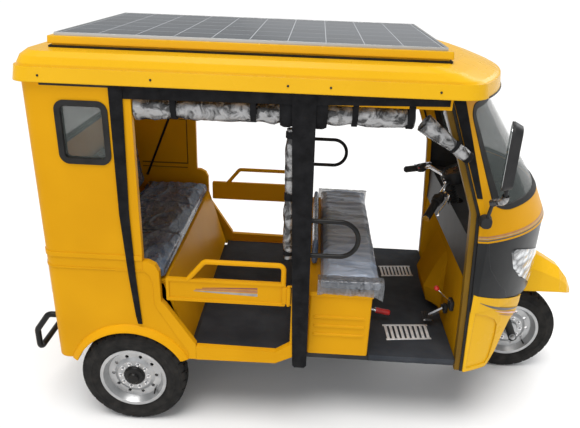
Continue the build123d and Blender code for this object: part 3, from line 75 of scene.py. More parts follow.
def node(m, kind, **values):
    n = m.node_tree.nodes.new(kind)
    for key, value in values.items():
        if key in n.inputs:
            n.inputs[key].default_value = value
        else:
            setattr(n, key, value)
    return n


def link(m, a, b):
    m.node_tree.links.new(a, b)


def shader(m):
    return m.node_tree.nodes["Principled BSDF"]


def place(m, stretch=(1, 1, 1)):
    """Object coordinates, stretched, so that the pattern stays fixed on the part."""
    coord = node(m, "ShaderNodeTexCoord")
    mapping = node(m, "ShaderNodeMapping")
    mapping.inputs["Scale"].default_value = stretch
    link(m, coord.outputs["Object"], mapping.inputs["Vector"])
    return mapping.outputs["Vector"]


def noise_of(m, scale, detail=4, rough=0.55, stretch=(1, 1, 1), distortion=0.0):
    n = node(m, "ShaderNodeTexNoise", Scale=scale, Detail=detail, Roughness=rough, Distortion=distortion)
    link(m, place(m, stretch), n.inputs["Vector"])
    return n.outputs["Fac"]


def ramp(m, source, stops):
    r = node(m, "ShaderNodeValToRGB")
    while len(r.color_ramp.elements) < len(stops):
        r.color_ramp.elements.new(0.5)
    for e, (pos, col) in zip(r.color_ramp.elements, stops):
        e.position = pos
        e.color = (*col, 1)
    link(m, source, r.inputs["Fac"])
    return r.outputs["Color"]


def mapped(m, value, **ends):
    """A value taken from one range to another; ends are From_Min, From_Max, To_Min and To_Max."""
    r = node(m, "ShaderNodeMapRange")
    for key, end in ends.items():
        r.inputs[key.replace("_", " ")].default_value = end
    link(m, value, r.inputs["Value"])
    return r.outputs["Result"]


def blend(m, factor, ground, colour):
    """The ground colour, turning to another one with the factor."""
    mix = node(m, "ShaderNodeMix", data_type="RGBA")
    link(m, factor, mix.inputs["Factor"])
    link(m, ground, mix.inputs["A"])
    mix.inputs["B"].default_value = (*colour, 1)
    return mix.outputs["Result"]


def vary(m, dark, light, scale, *detail, **kw):
    """Base colour drifts softly between two shades."""
    shade = ramp(m, noise_of(m, scale, *detail, **kw), [(0.3, dark), (0.7, light)])
    link(m, shade, shader(m).inputs["Base Color"])


def vary_rough(m, low, high, scale, *detail, **kw):
    rough = mapped(m, noise_of(m, scale, *detail, **kw), To_Min=low, To_Max=high)
    link(m, rough, shader(m).inputs["Roughness"])


def bump(m, height, strength, distance):
    """Adds a height to the shader's normal, on top of any that is there."""
    b = node(m, "ShaderNodeBump", Strength=strength, Distance=distance)
    link(m, height, b.inputs["Height"])
    target = shader(m).inputs["Normal"]
    if target.is_linked:
        link(m, target.links[0].from_socket, b.inputs["Normal"])
    link(m, b.outputs["Normal"], target)


def surface(name, base, rough, bevel=0.0, shades=(), roughs=(), bumps=(), **values):
    """A material with soft edges, its colour and roughness varied by (low, high, scale, detail), and heights."""
    m = new_material(name, base, rough, **values)
    if bevel:
        b = node(m, "ShaderNodeBevel", Radius=bevel, samples=4)
        link(m, b.outputs["Normal"], shader(m).inputs["Normal"])
    if shades:
        vary(m, *shades)
    if roughs:
        vary_rough(m, *roughs)
    for scale, detail, strength, distance in bumps:
        bump(m, noise_of(m, scale, detail), strength, distance)
    return m


def ribs_on(m, scale, direction, strength, distance):
    wave = node(m, "ShaderNodeTexWave", Scale=scale, bands_direction=direction)
    link(m, place(m), wave.inputs["Vector"])
    bump(m, wave.outputs["Fac"], strength, distance)


def lens(name, base, rough, scale, stops, relief=None, stretch=(1, 1, 1), **values):
    """Moulded lamp face of small cells, with the bump's strength and distance as relief; each cell is painted lighter
    at its centre and darker at its edge, a painted highlight and shade on the cells.
    """
    m = new_material(name, base, rough, **values)
    cells = node(m, "ShaderNodeTexVoronoi", Scale=scale)
    link(m, place(m, stretch), cells.inputs["Vector"])
    link(m, ramp(m, cells.outputs["Distance"], stops), shader(m).inputs["Base Color"])
    if relief:
        bump(m, cells.outputs["Distance"], *relief)
    return m


YELLOW = (0.68, 0.315, 0.003)
surface("yellow_paint", YELLOW, 0.5, 0.004, ((0.61, 0.285, 0.004), (0.71, 0.345, 0.006), 1.6, 3), (0.28, 0.42, 9, 5),
        ((5, 2, 0.25, 0.004), (260, 2, 0.05, 0.0006)), spec=0.05)
moulding = surface("yellow_moulding", YELLOW, 0.34, 0.007, ((0.72, 0.39, 0.008), (0.80, 0.45, 0.013), 1.3, 3),
                   (0.2, 0.34, 7), ((3.2, 2, 0.35, 0.006), (60, 2, 0.04, 0.001)), coat=0.02, coat_rough=0.1, spec=0.1)
surface("black_moulding", (0.012, 0.013, 0.014), 0.36, 0.005, ((0.012, 0.013, 0.014), (0.024, 0.025, 0.026), 4),
        (0.24, 0.4, 10), ((6, 2, 0.2, 0.004),), coat=0.04, coat_rough=0.15, spec=0.14)
black_paint = surface("black_paint", (0.010, 0.010, 0.011), 0.34, 0.002,
                      ((0.006, 0.006, 0.0065), (0.014, 0.0135, 0.013), 12), (), ((240, 4, 0.08, 0.0006),), spec=0.2)
black_plastic = surface("black_plastic", (0.02, 0.02, 0.021), 0.5, 0.003,
                        ((0.015, 0.015, 0.016), (0.03, 0.03, 0.031), 8), (), ((900, 1, 0.3, 0.0004),), spec=0.2)
rubber = surface("rubber", (0.014, 0.014, 0.014), 0.55, 0.003, ((0.010, 0.010, 0.010), (0.022, 0.021, 0.020), 14),
                 (0.45, 0.7, 30), spec=0.2)
tyre_rubber = surface("tyre", (0.016, 0.016, 0.016), 0.74, 0, ((0.011, 0.011, 0.011), (0.030, 0.028, 0.026), 22, 6),
                      (0.6, 0.85, 40), ((420, 3, 0.25, 0.0006),), spec=0.1)
mat_rubber = surface("mat", (0.02, 0.02, 0.021), 0.62, 0, ((0.021, 0.025, 0.032), (0.044, 0.049, 0.058), 5, 6),
                     (0.5, 0.75, 16), spec=0.2)
ribs_on(mat_rubber, 90, "X", 0.35, 0.0012)
bump(mat_rubber, noise_of(mat_rubber, 7, 3), 0.5, 0.01)
silver = surface("silver_steel", (0.42, 0.42, 0.43), 0.30, 0.002, ((0.33, 0.335, 0.34), (0.50, 0.505, 0.51), 14, 5),
                 (0.22, 0.42, 26), ((150, 4, 0.06, 0.0008),), metal=0.75, coat=0.2)
chrome = surface("bright_steel", (0.80, 0.80, 0.81), 0.12, roughs=(0.08, 0.2, 40), metal=1.0)
chassis_paint = surface("grey_steel", (0.022, 0.022, 0.023), 0.5, 0.003,
                        ((0.014, 0.014, 0.014), (0.034, 0.033, 0.032), 9, 6), (0.4, 0.65, 18),
                        ((120, 4, 0.15, 0.001),), spec=0.2)
aluminium = surface("aluminium", (0.46, 0.465, 0.46), 0.36, 0.0015, metal=0.8)
vary(aluminium, (0.40, 0.405, 0.40), (0.50, 0.505, 0.50), 30, stretch=(0.05, 1, 1))
vary_rough(aluminium, 0.26, 0.4, 60, stretch=(0.04, 1, 1))
cast = surface("cast_iron", (0.12, 0.12, 0.125), 0.55, 0.003, ((0.09, 0.09, 0.092), (0.16, 0.16, 0.162), 30), (),
               ((300, 4, 0.4, 0.001),), metal=0.5)
bar_metal = surface("foot_rest_metal", (0.80, 0.80, 0.81), 0.32, 0.001,
                    ((0.62, 0.62, 0.63), (0.86, 0.86, 0.87), 26, 4), metal=0.25)
lens("lamp_red", (0.45, 0.006, 0.006), 0.16, 90, [(0.0, (0.62, 0.02, 0.015)), (0.8, (0.30, 0.003, 0.003))],
     (0.5, 0.002), coat=0.8)
lens("lamp_clear", (0.8, 0.82, 0.83), 0.12, 17,
     [(0.0, (0.92, 0.94, 0.95)), (0.35, (0.55, 0.57, 0.59)), (0.62, (0.13, 0.135, 0.14))], (0.8, 0.02), (1, 1, 1.6),
     metal=0.85, coat=1.0)
glass = surface("glass", (0.09, 0.105, 0.10), 0.03, coat=0.15, IOR=1.45, Alpha=0.46)
vary(glass, (0.045, 0.056, 0.052), (0.14, 0.165, 0.155), 2.2, distortion=0.6)
webbing = surface("webbing", (0.012, 0.012, 0.013), 0.75, 0, ((0.006, 0.006, 0.0065), (0.016, 0.016, 0.0175), 18, 5),
                  spec=0.08)
ribs_on(webbing, 190, "Z", 0.3, 0.001)
bump(webbing, noise_of(webbing, 16, 3), 0.6, 0.008)
surface("battery_case", (0.03, 0.03, 0.032), 0.5, 0.004, ((0.022, 0.022, 0.024), (0.04, 0.04, 0.043), 10))


def solar_material():
    """Square cells in a fine grid, each a slightly different dark blue, with thin bus lines, under glass."""
    m = new_material("solar_cells", (0.01, 0.014, 0.03), 0.12, coat=0.12, coat_rough=0.03, spec=0.3)
    coord = node(m, "ShaderNodeTexCoord")
    split = node(m, "ShaderNodeSeparateXYZ")
    link(m, coord.outputs["Object"], split.inputs["Vector"])

    def math_node(op, a, b):
        n = node(m, "ShaderNodeMath", operation=op)
        for i, v in enumerate((a, b)):
            if isinstance(v, (int, float)):
                n.inputs[i].default_value = v
            else:
                link(m, v, n.inputs[i])
        return n.outputs[0]

    def band(value, pitch, start, width):
        """1 within half a width of each line of a row of lines, else 0."""
        shifted = math_node("ADD", value, 100 * pitch - start)
        phase = math_node("PINGPONG", shifted, pitch / 2)
        return math_node("LESS_THAN", phase, width / 2)

    x, y = split.outputs["X"], split.outputs["Y"]
    mid_x, pitch = REAR_X + 0.557, 0.1605
    gap = math_node("MAXIMUM", band(x, pitch, mid_x, 0.0035), band(y, pitch, 0.0, 0.0030))
    bus = band(y, 0.0535, 0.0268, 0.0012)
    cell = node(m, "ShaderNodeTexWhiteNoise", noise_dimensions="2D")
    snap = node(m, "ShaderNodeCombineXYZ")
    for key, value, start in (("X", x, 8.025 - mid_x), ("Y", y, 8.025)):
        number = math_node("FLOOR", math_node("DIVIDE", math_node("ADD", value, start), pitch), 0)
        link(m, number, snap.inputs[key])
    link(m, snap.outputs["Vector"], cell.inputs["Vector"])
    shade = ramp(m, cell.outputs["Value"], [(0.0, (0.012, 0.017, 0.022)), (1.0, (0.024, 0.033, 0.042))])
    cells = blend(m, math_node("MULTIPLY", bus, 0.35), shade, (0.35, 0.36, 0.38))
    link(m, blend(m, gap, cells, (0.55, 0.57, 0.6)), shader(m).inputs["Base Color"])
    # Painted reflection: the specular level rises towards the front of the panel, standing for the sky's sheen
    painted_sheen = mapped(m, math_node("ADD", x, math_node("MULTIPLY", y, 0.2)),
                   From_Min=-0.45, From_Max=0.35, To_Min=0.06, To_Max=0.75)
    link(m, painted_sheen, shader(m).inputs["Specular IOR Level"])


solar_material()


def film_material(name, dark, light, crease=26, rough=0.22, metal=0.0, stretch=(1, 1, 1), streak=(0.5, 0.5, 0.5),
                  grain=9, edge=0.13):
    """Cloth or leathercloth seen through thin clear film, with sharp creases; their crests are painted in the streak
    colour, a painted highlight where it is pale and painted shade where it is dark.
    """
    m = new_material(name, light, rough, metal=metal, coat=0.5, coat_rough=0.10, spec=0.35)
    ground = ramp(m, noise_of(m, grain, 6, distortion=0.8, stretch=stretch), [(0.49 - edge, dark), (0.49 + edge, light)])
    ridges = node(m, "ShaderNodeTexNoise", Scale=crease, Detail=3, Roughness=0.6, Distortion=1.6)
    ridges.noise_type = "RIDGED_MULTIFRACTAL"
    link(m, place(m, stretch), ridges.inputs["Vector"])
    crest = mapped(m, ridges.outputs["Fac"], From_Min=0.9, From_Max=1.7)
    link(m, blend(m, crest, ground, streak), shader(m).inputs["Base Color"])
    vary_rough(m, rough * 0.7, rough * 1.8, 22)
    bump(m, noise_of(m, crease, 5, 0.62, distortion=1.4, stretch=stretch), 0.75, 0.012)
    bump(m, crest, 0.5, 0.004)
    return m


# Pale streaks on the crease crests of the seat and curtain film are painted highlights; the cover's dark ones are
# painted shade
seat_film = film_material("seat_grey", (0.052, 0.080, 0.135), (0.115, 0.16, 0.235), stretch=(1.6, 0.6, 1),
                          streak=(0.55, 0.62, 0.74), grain=15)
cover_film = film_material("seat_cover", (0.23, 0.28, 0.37), (0.38, 0.44, 0.55), 9, 0.36, stretch=(0.5, 2.4, 1),
                           streak=(0.03, 0.04, 0.06))
curtain_film = film_material("curtain", (0.035, 0.035, 0.036), (0.36, 0.36, 0.365), 24, 0.16, metal=0.4,
                             streak=(0.85, 0.85, 0.86), grain=19, edge=0.07)
red_plastic = surface("red_grip", (0.5, 0.012, 0.010), 0.35, 0, ((0.42, 0.010, 0.009), (0.58, 0.016, 0.012), 20),
                      coat=0.3)
loose_film = surface("loose_film", (0.09, 0.095, 0.11), 0.14, metal=0.2, coat=0.6, coat_rough=0.05, Alpha=0.7)
# Colour drifting from near black to pale grey in streaks: painted highlights on the film's crinkles
vary(loose_film, (0.012, 0.013, 0.014), (0.26, 0.27, 0.29), 30, 6, distortion=1.6, stretch=(1.3, 1, 0.5))
bump(loose_film, noise_of(loose_film, 42, distortion=1.2), 0.8, 0.01)
dial = surface("dial_face", (0.012, 0.012, 0.013), 0.35, 0, ((0.010, 0.010, 0.011), (0.018, 0.018, 0.019), 60), coat=1.0)
white_mark = surface("white_mark", (0.8, 0.8, 0.8), 0.4, 0, ((0.7, 0.7, 0.7), (0.85, 0.85, 0.85), 90))
mirror_glass = surface("mirror_glass", (0.85, 0.87, 0.88), 0.03, roughs=(0.02, 0.06, 12), metal=1.0)
lamp_amber = lens("lamp_amber", (0.75, 0.22, 0.01), 0.16, 110, [(0.0, (0.85, 0.30, 0.02)), (0.8, (0.5, 0.12, 0.005))],
                  coat=0.8)
lamp_white = lens("lamp_white", (0.7, 0.7, 0.72), 0.14, 110, [(0.0, (0.85, 0.86, 0.88)), (0.8, (0.5, 0.51, 0.53))],
                  coat=0.9)
# Dark yellow-brown for the door edges and the quarters' pressed lines: painted shade on the yellow paint
shade_paint = surface("painted_shade_yellow", (0.18, 0.095, 0.003), 0.45, 0.003, spec=0.15)
vary(shade_paint, (0.13, 0.068, 0.003), (0.22, 0.118, 0.005), 5, stretch=(3, 3, 0.6))
# A darker copy of the yellow paint, with no specular, for the bulkhead: painted shade
bulkhead_painted_shade = surface("bulkhead_painted_shade", YELLOW, 0.6, 0.003, ((0.36, 0.175, 0.004), (0.47, 0.235, 0.006), 2.2, 3), spec=0.0)


def stripe(name, dark, light):
    return surface(name, light, 0.35, 0, (dark, light, 22), coat=0.4)


stripe_dark = stripe("stripe_dark", (0.035, 0.028, 0.022), (0.06, 0.05, 0.04))
stripe_grey = stripe("stripe_grey", (0.22, 0.21, 0.20), (0.34, 0.33, 0.31))
stripe_amber = stripe("stripe_amber", (0.30, 0.11, 0.03), (0.42, 0.17, 0.05))
stripe_rose = stripe("stripe_rose", (0.62, 0.30, 0.24), (0.74, 0.42, 0.34))
stripe_red = stripe("stripe_red", (0.16, 0.035, 0.02), (0.26, 0.06, 0.03))

# Each CAD node takes the material named like its slot, but for the two named here; the bulkhead's is a darker yellow,
# painted shade
made["motor_case"] = cast
for entry in frame["record"]["subparts"]:
    o = nodes[entry["node"]]
    o.data.materials.clear()
    o.data.materials.append(bulkhead_painted_shade if entry["node"] == "bulkhead" else made[entry["material_slot"]])

# Mesh helpers ----
class Shape:
    """Collects the vertices and faces of one piece, with a material index per face."""

    def __init__(self):
        self.verts, self.faces, self.slots = [], [], []

    def add(self, verts, faces, slot=0):
        start = len(self.verts)
        self.verts += [tuple(v) for v in verts]
        self.faces += [tuple(start + i for i in f) for f in faces]
        self.slots += [slot] * len(faces)
        return self

    def grid(self, rows, closed_u=False, closed_v=False, slot=0, caps=False):
        """Quads between rows of points; u runs along a row and v from row to row."""
        n, count = len(rows[0]), len(rows)
        faces = []
        for j in range(count if closed_v else count - 1):
            for i in range(n if closed_u else n - 1):
                k, m = (i + 1) % n, (j + 1) % count
                faces.append((j * n + i, j * n + k, m * n + k, m * n + i))
        if caps:
            faces += [tuple(range(n))[::-1], tuple((count - 1) * n + i for i in range(n))]
        return self.add([p for row in rows for p in row], faces, slot)

    def tube(self, points, radius, sides=10, slot=0, squash=1.0):
        """Round bar along a line of points; radius is a number or one for each point."""
        points = [Vector(p) for p in points]
        radii = radius if isinstance(radius, (list, tuple)) else [radius] * len(points)
        side = None
        rows = []
        for i, p in enumerate(points):
            ahead_of = points[min(i + 1, len(points) - 1)] - points[max(i - 1, 0)]
            t = ahead_of.normalized()
            side = t.orthogonal() if side is None else side - t * side.dot(t)
            side.normalize()
            other = t.cross(side)
            rows.append([p + (side * math.cos(a) + other * (math.sin(a) * squash)) * radii[i]
                         for a in (math.tau * k / sides for k in range(sides))])
        return self.grid(rows, closed_u=True, slot=slot, caps=True)

    def lathe(self, origin, axis, profile, sides=32, slot=0):
        """Turned form: profile holds (along, radius) pairs on the axis from the origin."""
        origin, axis = Vector(origin), Vector(axis).normalized()
        u = axis.orthogonal().normalized()
        v = axis.cross(u)
        rows = [[origin + axis * along + (u * math.cos(a) + v * math.sin(a)) * max(r, 1e-5)
                 for a in (math.tau * k / sides for k in range(sides))] for along, r in profile]
        return self.grid(rows, closed_u=True, slot=slot)

    def block(self, centre, size, x_dir=(1, 0, 0), z_dir=(0, 0, 1), edge=0.003, slot=0):
        """Box with softened edges, built as a stack of rounded outlines."""
        x = Vector(x_dir).normalized()
        z = Vector(z_dir).normalized()
        y = z.cross(x).normalized()
        hx, hy, hz = (s / 2 for s in size)
        edge = min(edge, hx * 0.9, hy * 0.9, hz * 0.9)
        rows = []
        for h, inset in ((-hz, edge), (-hz + edge * 0.4, edge * 0.3), (-hz + edge, 0), (hz - edge, 0),
                         (hz - edge * 0.4, edge * 0.3), (hz, edge)):
            row = []
            for sx, sy, turn in ((1, 1, 0), (-1, 1, 1), (-1, -1, 2), (1, -1, 3)):
                for k in range(3):
                    a = math.pi / 2 * (turn + k / 2)
                    row.append(Vector(centre) + x * (sx * (hx - edge) + math.cos(a) * (edge - inset))
                               + y * (sy * (hy - edge) + math.sin(a) * (edge - inset)) + z * h)
            rows.append(row)
        return self.grid(rows, closed_u=True, slot=slot, caps=True)

    def plate(self, outline, normal, thickness, slot=0):
        """Flat outline given a thickness against its normal."""
        n = Vector(normal).normalized() * thickness
        front = [Vector(p) for p in outline]
        return self.grid([[p - n for p in front], front], closed_u=True, slot=slot, caps=True)


def piece(shape, name, body, materials, smooth=40):
    """Makes an object of a Shape, smooth except at corners sharper than the given angle."""
    mesh = bpy.data.meshes.new(name)
    mesh.from_pydata(shape.verts, [], shape.faces)
    for m in materials:
        mesh.materials.append(m)
    mesh.polygons.foreach_set("material_index", shape.slots)
    bm = bmesh.new()
    bm.from_mesh(mesh)
    bmesh.ops.recalc_face_normals(bm, faces=bm.faces)
    bm.to_mesh(mesh)
    bm.free()
    o = linked(name, mesh)
    mesh.polygons.foreach_set("use_smooth", [True] * len(mesh.polygons))
    mesh.set_sharp_from_angle(angle=math.radians(smooth))
    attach(o, body)
    return o


def area_of(o):
    bm = bmesh.new()
    bm.from_mesh(o.data)
    area = sum(f.calc_area() for f in bm.faces)
    bm.free()
    return area


def linked(name, data):
    """A new object in the scene's collection."""
    o = bpy.data.objects.new(name, data)
    bpy.context.scene.collection.objects.link(o)
    return o


def arc3(a, b, c, count):
    """Points of the plan arc through three points."""
    (ax, ay), (bx, by), (cx, cy) = a, b, c
    d = 2 * (ax * (by - cy) + bx * (cy - ay) + cx * (ay - by))
    ux = ((ax * ax + ay * ay) * (by - cy) + (bx * bx + by * by) * (cy - ay) + (cx * cx + cy * cy) * (ay - by)) / d
    uy = ((ax * ax + ay * ay) * (cx - bx) + (bx * bx + by * by) * (ax - cx) + (cx * cx + cy * cy) * (bx - ax)) / d
    r = math.hypot(ax - ux, ay - uy)
    start, end = math.atan2(ay - uy, ax - ux), math.atan2(cy - uy, cx - ux)
    return [(ux + r * math.cos(start + (end - start) * i / count), uy + r * math.sin(start + (end - start) * i / count))
            for i in range(count + 1)]


def bend(points, steps=6):
    """Rounds a run of points into a smooth line."""
    pts = [Vector(p) for p in points]
    pts = [pts[0] * 2 - pts[1]] + pts + [pts[-1] * 2 - pts[-2]]
    out = []
    for i in range(1, len(pts) - 2):
        p0, p1, p2, p3 = pts[i - 1:i + 3]
        for k in range(steps):
            t = k / steps
            out.append(0.5 * ((2 * p1) + (p2 - p0) * t + (2 * p0 - 5 * p1 + 4 * p2 - p3) * t ** 2
                              + (3 * p1 - p0 - 3 * p2 + p3) * t ** 3))
    return out + [pts[-2]]


def rounded_rect(w, h, r, steps=5):
    out = []
    for sx, sy, turn in ((1, 1, 0), (-1, 1, 1), (-1, -1, 2), (1, -1, 3)):
        for k in range(steps + 1):
            a = math.pi / 2 * (turn + k / steps)
            out.append((sx * (w / 2 - r) + math.cos(a) * r, sy * (h / 2 - r) + math.sin(a) * r))
    return out


# The front shell's plan sections, from the CAD's values. Columns: z, flange x, side x, tip x
COWL_HALF = 0.610
SHELL = ((0.374, 0.722, 0.730, 1.151), (0.720, 0.708, 0.730, 1.151), (1.085, 0.686, 0.730, 1.151),
         (1.220, 0.676, 0.700, 1.085), (1.775, 0.466, 0.520, 0.693))


def shell_at(z):
    for low, high in zip(SHELL, SHELL[1:]):
        if z <= high[0]:
            t = (z - low[0]) / (high[0] - low[0])
            return [a + (b - a) * t for a, b in zip(low[1:], high[1:])]
    return SHELL[-1][1:]


def shell_row(z, lift, count=48):
    """Points round the shell at one height from the right flange to the left, lifted off its face."""
    flange, side, tip = shell_at(z)
    half = COWL_HALF + lift
    arc = arc3((side, -half), (tip + lift, 0), (side, half), count)
    return [Vector((x, y, z)) for x, y in [(flange, -half), *arc, (flange, half)]]


def shell_point(x, z, sign, lift=0.0):
    """Point of the shell's curved face below its band, at one x."""
    _, side, tip = shell_at(z)
    if x <= side:
        return Vector((x, sign * (COWL_HALF + lift), z))
    sag = tip - side
    r = (COWL_HALF ** 2 + sag ** 2) / (2 * sag)
    mid = tip - r
    a = math.acos(max(-1, min(1, (x - mid) / r)))
    return Vector((mid + (r + lift) * math.cos(a), sign * (r + lift) * math.sin(a), z))


# Tyres with moulded side rings and a blocked tread, each standing for its CAD node ----
TYRE_R = 0.265
TYRE_SIDE = ((0.0472, 0.157), (0.0474, 0.169), (0.0505, 0.173), (0.0500, 0.177), (0.0530, 0.186), (0.0552, 0.198),
             (0.0558, 0.209), (0.0572, 0.211), (0.0572, 0.214), (0.0557, 0.216), (0.0545, 0.227), (0.0520, 0.2385),
             (0.0505, 0.2395), (0.0492, 0.2440), (0.0475, 0.2500), (0.0440, 0.2568), (0.0380, 0.2615), (0.0305, 0.2640))
TREAD = ((0.0285, 2), (0.0255, 2), (0.0245, 0), (0.0215, 0), (0.0205, 1), (0.0060, 1), (0.0050, 0), (0.0, 0))
PITCHES = 30


def tyre(name, centre, body, node_name):
    samples = []
    for p in range(PITCHES):
        for f, shoulder, middle in ((0.0, 1, 1), (0.33, 1, 1), (0.36, 1, 0), (0.48, 1, 0), (0.51, 1, 1), (0.83, 1, 1),
                                    (0.86, 0, 1), (0.97, 0, 1)):
            samples.append((math.tau * (p + f) / PITCHES, shoulder, middle))
    rows = []
    for angle, shoulder, middle in samples:
        row = []
        half = []
        for across, r in TYRE_SIDE:
            lug = r > 0.2500
            low = 0.0045 if lug and not shoulder else 0.0
            half.append((across - low * 0.6, r - low))
        for across, kind in TREAD:
            r = TYRE_R - 0.0008 * (across / 0.03) ** 2
            cut = {0: True, 1: not middle, 2: not shoulder}[kind]
            half.append((across, r - (0.0058 if cut else 0)))
        whole = half + [(-a, r) for a, r in reversed(half[:-1])]
        for across, r in whole:
            row.append((centre[0] + r * math.cos(angle), centre[1] + across, centre[2] + r * math.sin(angle)))
        rows.append(row)
    shape = Shape().grid(rows, closed_u=True, closed_v=True)
    o = piece(shape, name, body, [tyre_rubber], 32)
    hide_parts(node_name)
    return o


for side, sign in SIDES:
    tyre(f"rear_tread_tyre_{side}", (REAR_X, sign * WHEEL_Y, AXLE_Z), f"rear_wheel_{side}", f"rear_tyre_{side}")
tyre("front_tread_tyre", (FRONT_X, 0, AXLE_Z), "front_wheel", "front_tyre")


def wheel_dress(name, centre, out, body, hub_black):
    """Hub dome, washers under the wheel bolts and a tyre valve on the outer face of one wheel."""
    shape = Shape()
    face = Vector(centre) + Vector((0, out * 0.027, 0))
    y = Vector((0, out, 0))
    shape.lathe(face, y, [(-0.002, 0.054), (0.004, 0.054), (0.0065, 0.051), (0.010, 0.049), (0.016, 0.047),
                          (0.018, 0.040), (0.020, 0.030), (0.030, 0.028), (0.034, 0.024), (0.035, 0.0)], 40)
    for k in range(10):
        a = math.tau * k / 10
        spot = face + Vector((math.cos(a) * 0.070, 0, math.sin(a) * 0.070))
        shape.lathe(spot, y, [(0.0, 0.0), (0.0, 0.0112), (0.0014, 0.0112), (0.0018, 0.0098), (0.0018, 0.0)], 16, 1)
        shape.lathe(spot, y, [(0.006, 0.0), (0.008, 0.0048), (0.0125, 0.0046), (0.013, 0.0)], 10, slot=1)
    valve = Vector(centre) + Vector((0.098, out * 0.020, -0.086))
    shape.tube(bend([valve + Vector((x, out * y, -x)) for x, y in ((0, 0), (0.002, 0.014), (0.004, 0.030))]), 0.0038,
               slot=2)
    shape.lathe(Vector(centre) + Vector((0, out * 0.0485, 0)), y, [(-0.004, 0.1555), (0.0, 0.157), (0.0026, 0.1605),
                (0.0030, 0.1655), (0.0018, 0.1672)], 64, slot=3)
    return piece(shape, name, body, [hub_black, chrome, rubber, silver], 35)


for side, sign in SIDES:
    wheel_dress(f"rear_hub_{side}", (REAR_X, sign * WHEEL_Y, AXLE_Z), sign, f"rear_wheel_{side}", black_paint)
wheel_dress("front_hub", (FRONT_X, 0, AXLE_Z), -1, "front_wheel", silver)

# Front brake drum with ribs round its rim on the far side, and fork gaiters with axle nuts
drum = Shape()
drum.lathe((FRONT_X, 0.012, AXLE_Z), (0, 1, 0), [(0.0, 0.030), (0.0, 0.088), (0.006, 0.092), (0.016, 0.092),
                                                 (0.018, 0.086), (0.026, 0.084), (0.034, 0.060), (0.036, 0.020)], 40)
for k in range(12):
    a = math.tau * k / 12
    drum.block((FRONT_X + math.cos(a) * 0.090, 0.020, AXLE_Z + math.sin(a) * 0.090), (0.006, 0.016, 0.012),
               x_dir=(math.cos(a), 0, math.sin(a)), z_dir=(-math.sin(a), 0, math.cos(a)), edge=0.0015)
piece(drum, "front_brake_drum", "front_wheel", [cast], 35)
legs = Shape()
for sign in (-1, 1):
    foot = STEER_FOOT + AXIS_FRONT * FORK_LEAD + Vector((0, sign * 0.096, 0))
    ribs = []
    for k in range(13):
        ribs += [(0.212 + k * 0.012, 0.0235), (0.218 + k * 0.012, 0.029)]
    legs.lathe(foot, AXIS_UP, [(0.205, 0.0195), (0.206, 0.027), *ribs, (0.372, 0.027), (0.373, 0.0190)], 20)
    legs.lathe(foot, AXIS_UP, [(0.196, 0.0232), (0.197, 0.0262), (0.205, 0.0262), (0.206, 0.0232)], 24, slot=1)
    hub = Vector((FRONT_X, sign * 0.119, AXLE_Z))
    legs.lathe(hub, (0, sign, 0), [(-0.001, 0.0), (-0.001, 0.0175), (0.0025, 0.0175), (0.003, 0.0150)], 20, slot=1)
    legs.lathe(hub, (0, sign, 0), [(0.0025, 0.0145), (0.012, 0.0145), (0.0135, 0.0125), (0.0135, 0.0)], 6, slot=1)
    legs.lathe(hub, (0, sign, 0), [(0.0130, 0.0), (0.0132, 0.0085), (0.019, 0.0082), (0.020, 0.0)], 14, slot=1)
piece(legs, "fork_gaiters", "steering", [rubber, silver], 35)

# Soft seats: each a cloth simulation of a padded block, then creases ----
def baked(o):
    """Mesh of an object with its modifiers applied."""
    graph = bpy.context.evaluated_depsgraph_get()
    return bpy.data.meshes.new_from_object(o.evaluated_get(graph))


CLOTH = {"quality": 4, "mass": 0.3, "use_pressure": True, "uniform_pressure_force": 4.0, "vertex_group_mass": "held",
         "tension_stiffness": 22, "compression_stiffness": 16, "bending_stiffness": 0.4}
CLOTH_FRAMES = 20


